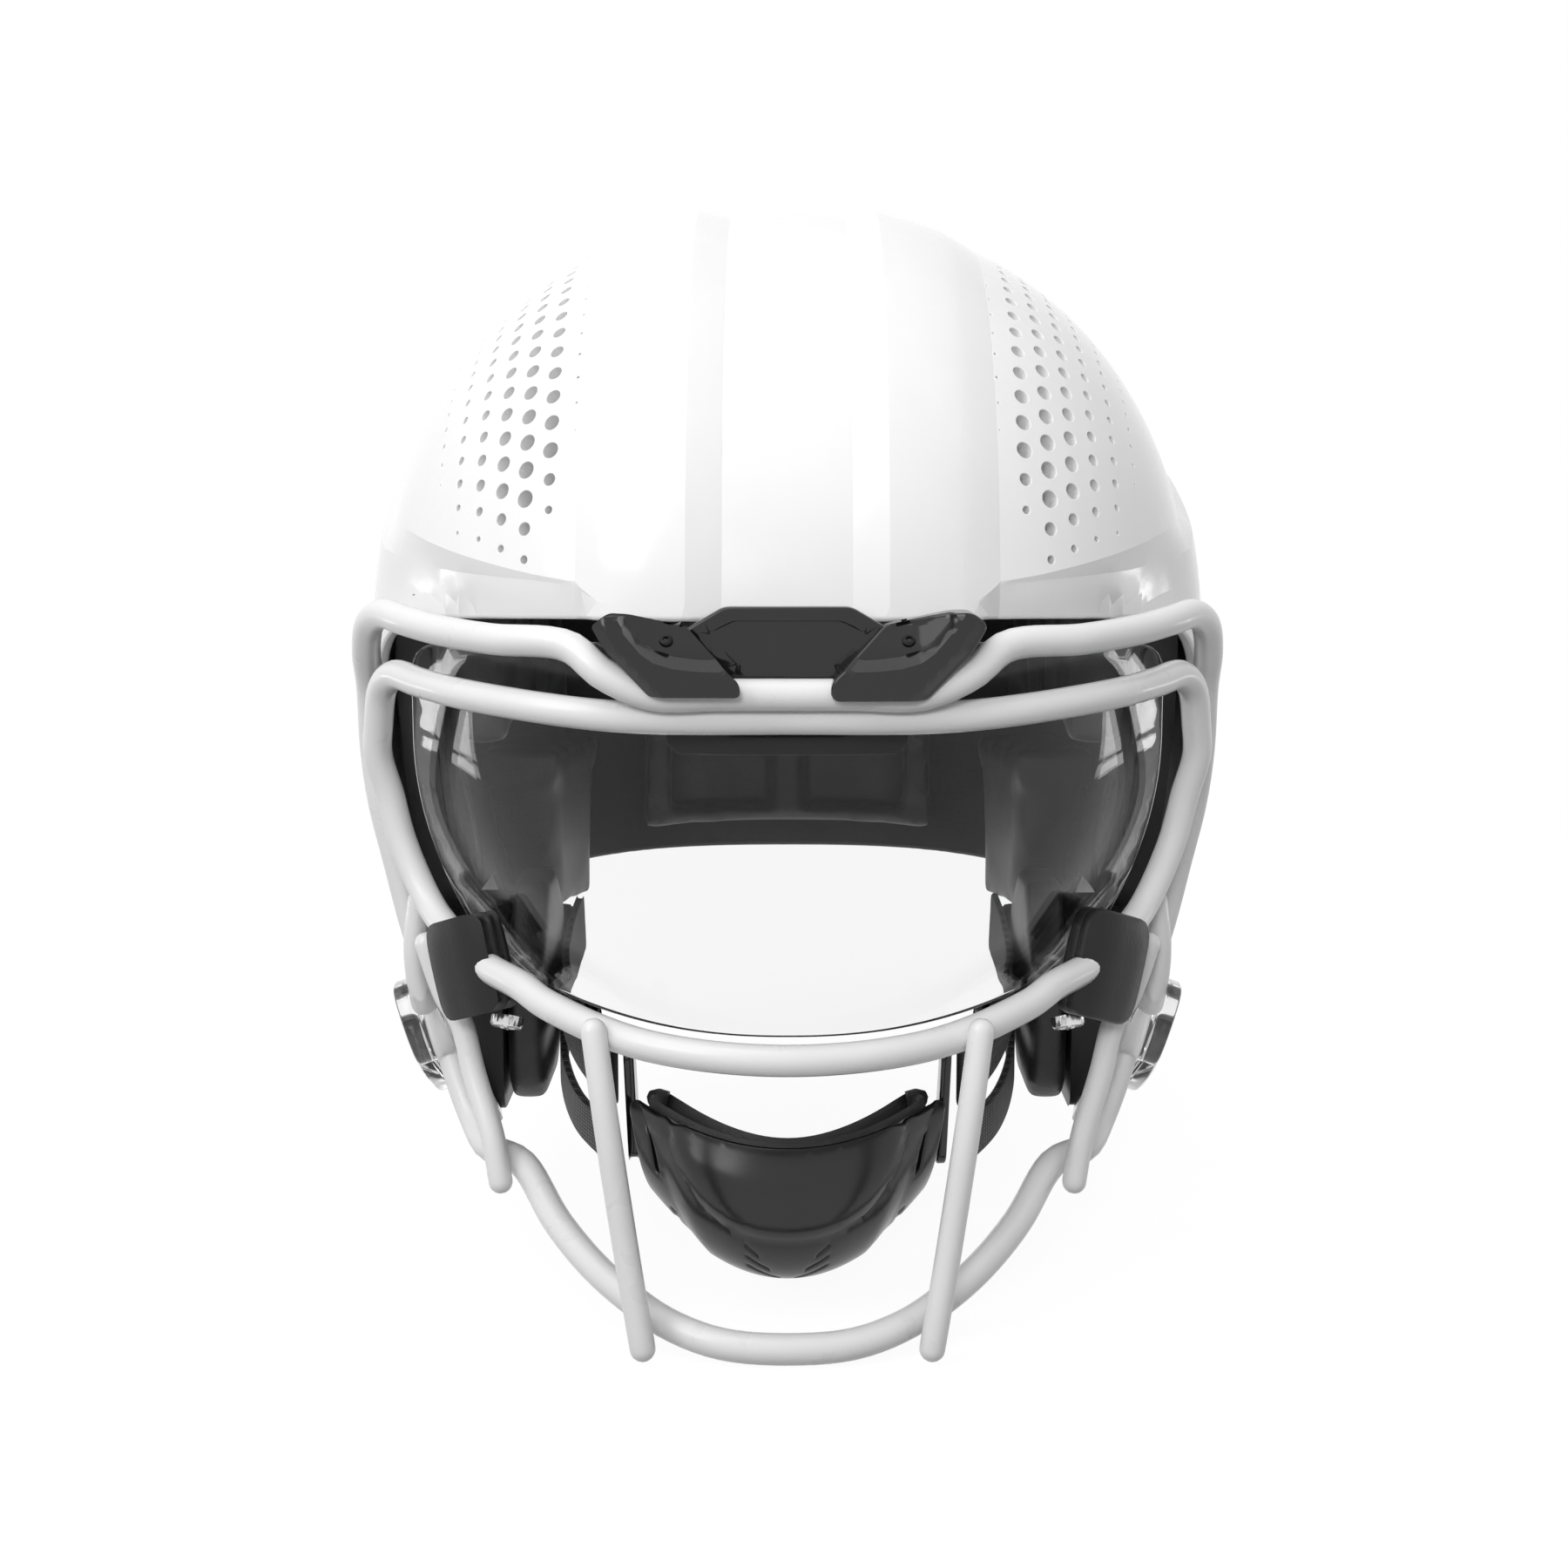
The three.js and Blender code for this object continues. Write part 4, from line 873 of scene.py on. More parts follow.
def mask_bars():
    """Two rings of thick bar, and the thinner uprights on each side."""
    for name, half in (("outer_loop", OUTER_LOOP), ("eye_loop", EYE_LOOP)):
        ring = tube(smooth_line(both_halves(half), 260, closed=True), BAR_RADIUS, closed=True)
        make_object(f"bar_{name}", ring, COATING, "facemask", [name])
    for name, side in SIDES:
        uprights = (("inner_upright", INNER_UPRIGHT, 26), ("outer_upright", OUTER_UPRIGHT, 30),
                    ("side_stub", SIDE_STUB, 16))
        for piece, route, count in uprights:
            bar = tube(smooth_line(mirror_x(route, side), count), UPRIGHT_RADIUS)
            make_object(f"bar_{piece}_{name}", bar, COATING, "facemask", [f"{piece}_{name}"])


# ---- brow hardware -------------------------------------------------------------------------
def front_plate():
    """The black plate over the brow, with a raised field that is left plain."""
    outline = rounded_outline(both_halves([(15, 172.4), (25, 183.4), (15.5, 189)]), 1.4)
    field = rounded_outline(both_halves([(12.5, 175.6), (20, 183.4), (13.4, 186.6)]), 1.0)
    inner_field = field * 0.97 + np.array([0, 181.0]) * 0.03

    def bowed(x, z):
        return -147 + 0.9 * (x / 25) ** 2 + 0.5 * inside_outline(columns(x, z), field)
    creases = [np.vstack([line, line[:1]]) for line in (denser(field, 2), denser(inner_field, 2))]
    shape = rounded_sheet(denser(outline, 2), facing_front(bowed), back=facing_front(-141.4), rounding=0.9,
                          spacing=2.0, creases=creases)
    make_object("brow_plate", shape, GLOSS, "helmet", ["front_bumper"], sharp=35)


CLIP_OUTLINE = [(47.6, 185.8), (44.2, 188.2), (39.5, 188.0), (24.2, 184.8), (15.2, 175.4), (11.6, 172.2),
                (11.3, 168.7), (33.5, 168.8), (44.4, 180.4)]
CLIP_ROUNDING = (1.2, 1.4, 1.4, 1.0, 1.2, 1.5, 1.6, 1.0, 2.0)  # at each corner of the outline
SCOOP_X = (14, 16.4, 22.2, 27.5, 32.3, 35.5, 39.5, 41.5)
SCOOP_Z = (174.6, 174.9, 175.1, 175.7, 177.1, 179.4, 184, 189)
SCOOP_STEP = 2.8  # how far above its edge the scoop's floor begins
CLIP_FRONT, CLIP_BACK = -158.0, -142.6
BROW_SCREW = (29.5, 182.0)  # across and up, in the scoop


def clip_front(x, z):
    """Y of the clip's sculpted face."""
    above = np.maximum(0, z - np.interp(x, SCOOP_X, SCOOP_Z))
    scoop = np.minimum(4.2, 1.5 * above) + 0.35 * above
    outer_edge = np.interp(z, (168.8, 180.4, 185.8), (33.5, 44.4, 47.6))
    bevel = np.clip(1 - (outer_edge - x) / 3.2, 0, 1)
    top = 0.32 * np.maximum(0, z - 180)
    return CLIP_FRONT + (np.where(x < 41, scoop, 0) + 2.2 * bevel + top)


def brow_clips():
    outline = denser(rounded_outline(CLIP_OUTLINE, CLIP_ROUNDING), 1.2)
    scoop_edge = columns(SCOOP_X[1:-1], SCOOP_Z[1:-1])
    screw_x, screw_z = BROW_SCREW
    for name, side in SIDES:
        clip = rounded_sheet(outline, facing_front(clip_front, side), back=facing_front(CLIP_BACK, side),
                             spacing=1.1, creases=[scoop_edge, scoop_edge + (0, SCOOP_STEP)])
        make_object(f"brow_clip_{name}", clip, GLOSS, "helmet", [f"brow_clip_{name}"], sharp=24)
        spot = (side * screw_x, float(clip_front(screw_x, screw_z)), screw_z)
        # The head is near black: painted shade of the recess round the screw.
        head = placed(screw_head(1.7, 0.7, 0.9), spot, (1, 0, 0), (0.1 * side, -0.7, 0.7))
        make_object(f"brow_screw_{name}", head, SCREW_PAINTED_SHADE, "helmet", [f"brow_screw_{name}"],
                    sharp=35)


def screw_head(radius, height, socket):
    """A low domed head with a six-sided socket, its top facing +Z."""
    points, faces = lathe([
        (0, -1.5), (radius, -1.5), (radius, height * 0.35), (radius * 0.86, height * 0.8),
        (radius * 0.6, height), (socket, height), (socket * 0.92, height - 0.9), (0, height - 1.1)], 48)
    turns = np.arctan2(points[:, 1], points[:, 0])
    six = math.cos(math.pi / 6) / np.cos((turns % (math.pi / 3)) - math.pi / 6)
    reach = np.hypot(points[:, 0], points[:, 1])
    hexed = (reach < socket * 1.01) & (points[:, 2] > height - 1.0)
    points[:, :2] *= np.where(hexed, six, 1.0)[:, None]
    return points, faces


def rear_plate():
    """The black bumper on the nape: flat points are (x, how far up the back)."""
    def face(depth):
        def surface(flat):
            return over_the_top(flat[:, 0], 188 + flat[:, 1] / 2.6, depth, True)
        return surface
    outline = denser(rounded_outline([(-34, 0), (34, 0), (30, 39), (-30, 39)], 7), 3)
    shape = rounded_sheet(outline, face(-4.4), back=face(-1.2), rounding=1.4, spacing=3.0)
    make_object("rear_plate", shape, GLOSS, "helmet", ["rear_bumper"])


# ---- side mounts ---------------------------------------------------------------------------
# Turned pieces: (radius, height) from the axis round to the axis.
POST_PROFILE = [(0, 1), (7.4, 1), (8, 1.5), (8, 2.6), (7.5, 3), (4.2, 3), (4.2, 10.6), (3.8, 11.2),
                (2.9, 11.2), (2.8, 4.2), (0, 4)]
BUTTON_PROFILE = [(0, 7), (2.3, 7), (2.3, 13.1), (1.9, 13.6), (1.2, 13.7), (0, 13.3)]
FORK_HEIGHTS, GRIP_HEIGHTS = (3.6, 10.6), (-5, 9.2)


def mount_frame(side):
    """Where a side post stands on the jaw flap, and which way it points."""
    tilt = SIDE_MOUNT["tilt"]
    out = np.array([side * math.cos(tilt), 0, -math.sin(tilt)])
    return np.array([side * SIDE_MOUNT["x"], SIDE_MOUNT["y"], SIDE_MOUNT["z"]]), out


def side_mounts():
    """On each side the post on the jaw flap, its sprung button and the clip on the mask."""
    for name, side in SIDES:
        origin, out = mount_frame(side)
        post = placed(lathe(POST_PROFILE), origin, (0, 1, 0), out)
        make_object(f"post_{name}", post, HARD, "helmet", [f"side_post_{name}"], sharp=35)
        button = placed(lathe(BUTTON_PROFILE, 32), origin, (0, 1, 0), out)
        make_object(f"button_{name}", button, STEEL, f"release_button_{name}", [f"side_button_{name}"],
                    sharp=35)
        clip = placed(side_clip(side), origin, (0, 1, 0), out)
        make_object(f"side_clip_{name}", clip, CLIP_CLEAR, "facemask", [f"side_clip_{name}"],
                    sharp=40)


def side_clip(side):
    """A clear forked clip round the post, with a grip that reaches forward round the bars."""
    angle = side * RELEASE_ANGLE
    spin = np.array([[math.cos(angle), -math.sin(angle)], [math.sin(angle), math.cos(angle)]])
    slot = [(5 * math.cos(t), 5 * math.sin(t)) for t in np.linspace(math.pi / 2, 1.5 * math.pi, 12)]
    fork = [(6, 5.2), *slot, (6, -5.2), (7, -11), (-10, -12.5), (-17, -7), (-17, 7), (-10, 12.5), (7, 11)]
    radii = [1, *[0.3] * len(slot), 1, 2.5, 4, 4, 4, 4, 2.5]
    fork = rounded_outline(fork, radii, 4) @ spin.T
    grip = (rectangle(-28, -3.5, -13, 18, 5) * (1, side))[::side]

    def level(height, crowned=0.0):
        def surface(flat):
            return columns(flat[:, 0], flat[:, 1], height - crowned * (flat ** 2).sum(axis=1))
        return surface
    return joined([
        rounded_sheet(denser(outline, 1.6), level(high, crowned=0.003), back=level(low), rounding=1.6,
                      spacing=2.4)
        for outline, (low, high) in ((fork, FORK_HEIGHTS), (grip, GRIP_HEIGHTS))])


# ---- visor ---------------------------------------------------------------------------------
VISOR_FLAT = (110, 80)  # half width and height of the rectangle that the pane is laid out on


def visor_half_width(z):
    """The pane narrows towards its lower edge."""
    return VISOR["half_width"] - 0.0055 * np.maximum(0, 150 - z) ** 2


def visor_y(x, z):
    """Y of the pane's front: flat over the nose, and round to the sides."""
    front = VISOR["front"] + (VISOR["top"] - VISOR["front"]) * smoothstep(z, 100, 160)
    share = (np.abs(x) / visor_half_width(z)) ** VISOR["power"]
    return front + (VISOR["edge"] - front) * share


def visor_point(flat):
    """The pane, over a flat rectangle of VISOR_FLAT."""
    across, up = flat[:, 0] / VISOR_FLAT[0], flat[:, 1] / VISOR_FLAT[1]
    wide = np.abs(across)
    low = 83 + 5 * wide ** 2  # the lower edge bows up a little towards the sides
    high = 159 + 20 * smoothstep(wide, 0.28, 0.46) - 5 * smoothstep(wide, 0.8, 1)  # lower over the nose
    z = low + (high - low) * up
    x = across * 0.97 * visor_half_width(z)
    return columns(x, visor_y(x, z), z)


def visor():
    wide, high = VISOR_FLAT
    pane = rounded_sheet(denser(rectangle(-wide, 0, wide, high, 7), 2.5), visor_point, VISOR["thickness"],
                         rounding=0.8)
    make_object("visor_pane", pane, VISOR_CLEAR, "facemask", ["visor"])


def visor_trim():
    """The dark strip in front of the pane's upper edge."""
    half = [(0, 153.2), (27.5, 153.2), (29.8, 155.4), (30, 157.6), (15.4, 157.9), (14, 157.0)]
    outline = denser(rounded_outline(both_halves(half), 0.5, 3), 1.4)

    def before_pane(distance):
        def y_of(x, z):
            return visor_y(x, z) - distance
        return facing_front(y_of)
    strip = rounded_sheet(outline, before_pane(2.6), back=before_pane(0.5), rounding=0.6, spacing=1.6)
    make_object("visor_brow", strip, HARD, "facemask", ["visor_trim"])


VISOR_SCREW = (77.2, -94.2, 73.6)
VISOR_CLAMP = (86.0, -101.0, 89.6)
CLAMP_HALF_WIDTH, CLAMP_HALF_HEIGHT, CLAMP_DEPTH = 9.5, 13.5, 6.5
CLAMP_LEAN, CLAMP_TURN = math.radians(18), math.radians(42)  # with the loop's bend
SCREW_LEAN, SCREW_TURN = math.radians(-24), math.radians(18)


def clamp_axes(side):
    """Across, through and up the clamp."""
    turn = Euler((0, 0, CLAMP_TURN)).to_matrix() @ Euler((0, CLAMP_LEAN, 0)).to_matrix()
    axes = [np.array(turn @ Vector(v)) for v in ((1, 0, 0), (0, 1, 0), (0, 0, 1))]
    return [mirror_x(axis, side) for axis in axes]


def visor_clamps():
    for name, side in SIDES:
        for half, near, far in (("front", -CLAMP_DEPTH - 0.6, -0.25), ("rear", 0.25, CLAMP_DEPTH)):
            is_front = half == "front"
            inward = 3.6 if is_front else 1.5  # how far it reaches over the bar's bend
            outline = rectangle(-CLAMP_HALF_WIDTH - inward, -CLAMP_HALF_HEIGHT, CLAMP_HALF_WIDTH,
                                CLAMP_HALF_HEIGHT, 5)
            shape = rounded_sheet(denser(outline, 1.3), clamp_face(side, near, is_front),
                                  back=clamp_face(side, far, not is_front), rounding=1.3, spacing=2.0)
            make_object(f"visor_clamp_{half}_{name}", shape, HARD, "facemask", [f"visor_clip_{half}_{name}"],
                        sharp=40)
        visor_screw(name, side)


def clamp_face(side, depth, crowned):
    """A face of a half at a depth through the clamp. A crowned one falls off to its edges."""
    x_way, y_way, z_way = clamp_axes(side)

    def surface(flat):
        across, up = np.abs(flat[:, 0] / CLAMP_HALF_WIDTH), np.abs(flat[:, 1] / CLAMP_HALF_HEIGHT)
        reach = depth * (1 - (0.16 * across ** 3 + 0.14 * up ** 3) * crowned)
        middle = mirror_x(VISOR_CLAMP, side) + flat[:, :1] * x_way + flat[:, 1:2] * z_way
        return middle + reach[:, None] * y_way
    return surface


def visor_screw(name, side):
    """A quarter-turn screw: a knurled rim, and a bar across its head to turn it by."""
    turn = Euler((0, 0, SCREW_TURN)).to_matrix() @ Euler((SCREW_LEAN, 0, 0)).to_matrix()
    way = mirror_x(np.array(turn @ Vector((0, 0, -1))), side)
    points, faces = lathe([(0, 0), (4.6, 0), (4.6, 2.2), (4.0, 3.0), (3.2, 3.0), (3.0, 2.3), (0, 2.3)], 72)
    angle = np.arctan2(points[:, 1], points[:, 0])
    reach = np.hypot(points[:, 0], points[:, 1])
    points[:, :2] *= np.where(reach > 4.5, 1 - 0.03 * (np.cos(18 * angle) > 0), 1)[:, None]
    bar = tube(np.linspace((-2.8, 0, 2.6), (2.8, 0, 2.6), 6), 0.8, 12)
    shape = placed(joined([(points, faces), bar]), mirror_x(VISOR_SCREW, side), (0, 1, 0), way)
    make_object(f"visor_screw_head_{name}", shape, STEEL, f"visor_turn_screw_{name}",
                [f"visor_screw_{name}"], sharp=35)


# ---- chin strap ----------------------------------------------------------------------------
CUP_SECTION = [(0, -131, 48), (0, -136, 38), (0, -134.5, 24), (0, -127, 14.5), (0, -114, 12), (0, -104, 13.5)]
CUP_LINE = curve_points(CUP_SECTION)
CUP_WIDE, CUP_DEEP = 43.0, 62.0  # flat half width and length that the cup is laid out on
CUP_LOW_WIDE = 30.0
CUP_RIM = 2.2  # where the shell starts; the pad stands up behind it
BOWL_WIDE, BOWL_DEEP = 28.5, 21.0  # the plateau over the chin, on the same flat layout


def cup_point(flat):
    """The plain cup: its middle line, with sides that bend back and up."""
    across, v = flat[:, 0] / CUP_WIDE, flat[:, 1] / CUP_DEEP
    row = np.clip(v, 0, 1) * (len(CUP_LINE) - 1)
    y, z = (np.interp(row, np.arange(len(CUP_LINE)), CUP_LINE[:, k]) for k in (1, 2))
    rise = 17 * v * (1.55 - 0.55 * v) + 8 * (1 - v)
    x = across * (CUP_WIDE + (CUP_LOW_WIDE - CUP_WIDE) * v)
    return columns(x, y + 26 * across ** 2 * (1 - 0.55 * v), z + rise * across ** 2)


def ridge_x(v):
    """Where the cup's front turns into its sides."""
    return 32.6 - 0.27 * v


def cup_bowl(flat):
    """The raised plateau inside the cup's U-shaped crease, and the sides that fall away."""
    x, v = np.abs(flat[:, 0]), flat[:, 1]
    reach = ((x / BOWL_WIDE) ** 3 + (np.maximum(0, v) / BOWL_DEEP) ** 3) ** (1 / 3)
    sides = np.clip(x - ridge_x(v), 0, 7)
    return 1.7 * (1 - smoothstep(reach, 0.92, 1.08)) - 0.24 * sides


def bowl_crease(reach):
    """The line at a reach from the middle of the plateau, where 1 is its edge."""
    turns = np.linspace(0.06, math.pi - 0.06, 41)
    x = BOWL_WIDE * reach * np.sign(np.cos(turns)) * np.abs(np.cos(turns)) ** (2 / 3)
    v = BOWL_DEEP * reach * np.sin(turns) ** (2 / 3)
    line = columns(x, v)
    return even_line(line[line[:, 1] > CUP_RIM + 1.5], 40)


def cup_vents():
    """Three chevrons of thin slots, pointing down under the chin."""
    vents = []
    for row in range(3):
        outer_v, inner_v = 24.0 + 3.7 * row, 27.6 + 4.7 * row
        inner_x = 7.4 - 2.9 * row
        slot = [(inner_x, inner_v), (12.0, outer_v), (12.0, outer_v + 1.9), (inner_x, inner_v + 1.9)]
        for _, side in SIDES:
            outline = rounded_outline(slot, 0.6, 3) * (side, 1)
            vents.append(denser(outline, 0.8))
    return vents


def strap_slots():
    """An upper and a lower slot on each side, which the straps go through."""
    return [denser(rectangle(side * x - 1.5, low, side * x + 1.5, high, 1.3), 1.2)
            for x, low, high in ((37.5, 9, 22), (34.5, 30, 40)) for _, side in SIDES]


def cup_layer(height):
    """The cup's surface raised by a height: one number, or a function of the flat points."""
    def surface(flat):
        return cup_point(flat) + surface_normals(cup_point, flat) * per_point(height, flat)[:, None]
    return surface


def chin_cup():
    corners = [(-CUP_WIDE, CUP_RIM), (CUP_WIDE, CUP_RIM), (CUP_WIDE, CUP_DEEP), (-CUP_WIDE, CUP_DEEP)]
    outline = rounded_outline(corners, (7, 7, 22, 22), 9)
    depths = np.linspace(CUP_RIM + 1.5, 44, 30)
    ridges = [columns(side * ridge_x(depths), depths) for _, side in SIDES]
    shape = rounded_sheet(
        denser(outline, 1.5), cup_layer(cup_bowl), 3.4, rounding=0.9, spacing=1.9,
        holes=cup_vents() + strap_slots(), creases=[bowl_crease(0.92), bowl_crease(1.08), *ridges])
    make_object("cup_shell", shape, CUP, "chin_strap", ["chin_cup"], sharp=24)


def surface_normals(surface, flat, step=0.05):
    """Normals of a surface over flat points, facing away from the head."""
    along_u = surface(flat + (step, 0)) - surface(flat - (step, 0))
    along_v = surface(flat + (0, step)) - surface(flat - (0, step))
    normals = normalised(np.cross(along_u, along_v))
    outward_way = surface(flat) - np.array([0.0, -95.0, 50.0])
    return normals * np.sign(np.sum(normals * outward_way, axis=1, keepdims=True))


STRAP_HALF_THICKNESS = 1.1
STRAPS = {  # half height, and route from the cup to the snap or the flap
    "upper": (9.0, [(47.5, -98, 58), (59, -73, 62.5), (66.6, -45, 68), (68.4, -15, 73), (68.4, 20, 76)]),
    "lower": (5.5, [(47.5, -100, 38), (60, -74, 41), (66.8, -47, 47), (68.4, -16, 56.5)]),
}


SLIDER_START, SLIDER_END = 0.16, 0.30  # shares of the upper strap's length
SLIDER_HALF_HEIGHT = 11.3
# Turned pieces: (radius, height) from the axis round to the axis.
SNAP_PROFILE = [(0, 0.2), (3.4, 0.0), (7.4, 0.2), (8.8, 1.4), (9, 3), (9, 8.6), (8.2, 10), (4.6, 10),
                (4.5, 4.2), (0, 4)]
STUD_PROFILE = [(0, 0), (3.2, 0), (4, 1), (4, 3), (3.3, 4.4), (3.3, 24), (8.6, 24), (9, 24.5), (9, 25.9),
                (8.4, 26.4), (0, 26.4)]
SNAP_X, STUD_SHIFT = 70.0, 4.6


def band_surface(line, depth, side):
    """A flat band on edge along a line: flat points are (along, up)."""
    steps = np.concatenate([[0], np.cumsum(np.linalg.norm(np.diff(line, axis=0), axis=1))])
    tangents = normalised(np.gradient(line, axis=0))
    outs = normalised(np.cross(tangents, (0, 0, 1.0))) * side

    def surface(flat):
        at, out = (columns(*[np.interp(flat[:, 0], steps, values) for values in track.T])
                   for track in (line, outs))
        return at + out * depth + columns(0, 0, flat[:, 1])
    return surface, steps[-1]


def chin_straps():
    for name, side in SIDES:
        for which, (half, route) in STRAPS.items():
            line = smooth_line(mirror_x(route, side), 60)
            outer, length = band_surface(line, STRAP_HALF_THICKNESS, side)
            inner, _ = band_surface(line, -STRAP_HALF_THICKNESS, side)
            outline = denser(rectangle(0.3, -half, length - 0.3, half, 2.5), 2)
            shape = rounded_sheet(outline, outer, back=inner, rounding=0.9, spacing=2.5)
            make_object(f"webbing_{which}_{name}", shape, STRAP, "chin_strap", [f"strap_{which}_{name}"])
        slider_piece(name, side)
        snap_pieces(name, side)


def strap_hook(side):
    """The glossy hook at the cup's corner that both straps hang on. Flat points are (y, z)."""
    corners = [(-109, 37), (-99, 35), (-98, 66), (-101, 67.5), (-106, 67)]
    outline = denser(rounded_outline(corners, (3, 3, 2, 1, 3)), 1.5)

    def leaning(x):
        def surface(flat):
            return columns(side * (x + 0.05 * (flat[:, 1] - 66)), flat[:, 0], flat[:, 1])
        return surface
    return rounded_sheet(outline, leaning(44.6), back=leaning(41.8), rounding=0.9, spacing=2)


def slider_piece(name, side):
    """A frame with two slots that the upper strap is threaded through, and the hook before it."""
    line = smooth_line(mirror_x(STRAPS["upper"][1], side), 60)
    near, length = band_surface(line, -1.5, side)
    far, _ = band_surface(line, -3.7, side)
    start, end, half = SLIDER_START * length, SLIDER_END * length, SLIDER_HALF_HEIGHT
    outline = denser(rectangle(start, -half, end, half, 2.5), 1.5)
    middle = (start + end) / 2
    gaps = [denser(rectangle(x - 1.4, -half + 3, x + 1.4, half - 3, 1), 1.2)
            for x in (middle - 3.6, middle + 3.6)]
    plate = rounded_sheet(outline, near, back=far, rounding=0.9, spacing=2, holes=gaps)
    make_object(f"slider_{name}", joined([plate, strap_hook(side)]), GLOSS, "chin_strap",
                [f"strap_slider_{name}"])


def snap_pieces(name, side):
    """The snap on the strap's end and the stud in the jaw flap that it grips."""
    origin = np.array([side * SNAP_X, *STRAP_AXIS])
    out = (side, 0, 0)
    snap = placed(lathe(SNAP_PROFILE, 48), origin, (0, 1, 0), out)
    make_object(f"snap_{name}", snap, HARD, "chin_strap", [f"strap_snap_{name}"], sharp=35)
    stud = placed(lathe(STUD_PROFILE), origin + (side * STUD_SHIFT, 0, 0), (0, 1, 0), out)
    make_object(f"stud_{name}", stud, STEEL, "helmet", [f"strap_anchor_{name}"], sharp=35)


# ---- pads ----------------------------------------------------------------------------------
def select_only(obj):
    for other in bpy.context.selected_objects:
        other.select_set(False)
    bpy.context.view_layer.objects.active = obj
    obj.select_set(True)


def apply_modifier(obj, kind, **settings):
    modifier = obj.modifiers.new(kind, kind)
    for key, value in settings.items():
        setattr(modifier, key, value)
    bpy.ops.object.modifier_apply(modifier=modifier.name)


def stuffed(node, name, material, body, slot, voxel=4.0, shrink=1.2, cap=3.0, groove=None, fill=0.7,
            rounds=5):
    """A soft piece blown up by cloth from its CAD solid, then given its sewn channels."""
    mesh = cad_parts[node].data.copy()
    mesh.name = name
    obj = new_object(name, mesh)
    select_only(obj)
    apply_modifier(obj, "REMESH", mode="VOXEL", voxel_size=voxel * MM)
    apply_modifier(obj, "SMOOTH", iterations=rounds)
    start = move_along_normals(obj, -shrink * MM)
    swell(obj, start, cap * MM)
    apply_modifier(obj, "SUBSURF", levels=1)
    if groove:
        places = vertex_array(obj.data) / MM - (0, HEAD_SHIFT_Y, 0)
        move_along_normals(obj, -MM * groove(places))
    obj.data.polygons.foreach_set("use_smooth", [True] * len(obj.data.polygons))
    obj.data.materials.clear()
    obj.data.materials.append(material)
    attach(obj, body)
    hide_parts(node)
    return obj


def vertex_array(mesh, key="co"):
    values = np.empty(len(mesh.vertices) * 3, np.float32)
    mesh.vertices.foreach_get(key, values)
    return values.reshape(-1, 3)


def move_along_normals(obj, amount):
    """Each point moved by the amount in metres: one number, or one for each point."""
    points = vertex_array(obj.data)
    amounts = np.broadcast_to(amount, len(points))
    moved = points + vertex_array(obj.data, "normal") * amounts[:, None]
    obj.data.vertices.foreach_set("co", moved.ravel())
    obj.data.update()
    return moved


def swell(obj, start, cap):
    """Cloth under pressure, with no gravity. No point ends further from its start than the cap."""
    cloth = obj.modifiers.new("Cloth", "CLOTH")
    cloth.settings.use_pressure = True
    cloth.settings.uniform_pressure_force = 4.0
    cloth.settings.effector_weights.gravity = 0.0
    cloth.settings.quality = 4
    cloth.collision_settings.use_collision = False
    scene = bpy.context.scene
    for number in range(1, 13):
        scene.frame_set(number)
    graph = bpy.context.evaluated_depsgraph_get()
    blown = vertex_array(obj.evaluated_get(graph).data)
    obj.modifiers.remove(cloth)
    scene.frame_set(1)
    step = blown - start
    length = np.linalg.norm(step, axis=1, keepdims=True)
    step *= np.minimum(1, cap / np.maximum(length, 1e-9))
    obj.data.vertices.foreach_set("co", (start + step).astype(np.float32).ravel())
    obj.data.update()


def channel(distance, depth, width):
    """A sewn channel, as how far it sinks at a distance from its line."""
    return depth * np.exp(-(distance / width) ** 2)


def plateau(value, low, high, soft):
    """1 between low and high, falling to 0 over a soft edge inside them."""
    return smoothstep(value, low, low + soft) * (1 - smoothstep(value, high - soft, high))


def cup_pad():
    """The cup's lining, which stands up above the shell's rim. It is pressed thin, so it isn't blown up."""
    wide, low, deep = CUP_WIDE - 3, -7.0, CUP_DEEP * 0.9
    corners = [(-wide, low), (wide, low), (wide - 3, deep), (3 - wide, deep)]
    outline = rounded_outline(corners, (4, 4, 18, 18), 7)
    shape = rounded_sheet(denser(outline, 1.6), cup_layer(-3.6), back=cup_layer(-10.2), rounding=2.2,
                          spacing=3)
    obj = make_object("cup_pad", shape, PAD, "chin_strap", ["chin_pad"])


def nape_lobes(points):
    """Two sunken fields side by side in the nape pad."""
    return 6.0 * (plateau(np.abs(points[:, 0]), 3.5, 43, 4.5) * plateau(points[:, 2], 99, 168, 6))


def crown_channels(points):
    x, y = np.abs(points[:, 0]), points[:, 1]
    return channel(x - 17, 2.4, 2.2) + channel(y + 26, 2.4, 2.2) + channel(y - 14, 2.4, 2.2)


def front_channels(points):
    return channel(np.abs(points[:, 0]) - 24, 2.2, 2.2)


def temple_channels(points):
    return channel(points[:, 2] - 186, 2.2, 2.2) + channel(points[:, 1] - 14, 2.2, 2.2)


def head_pad(node, name, **settings):
    stuffed(node, name, PAD, "helmet", "pad_black", **settings)


def buckling_layer(area):
    """One pad of the energy layer between the shells."""
    stuffed(f"reflex_{area}", f"buckling_layer_{area}", FOAM, "helmet", "reflex_foam", voxel=5, shrink=1.5,
            cap=0.8, fill=1.0)


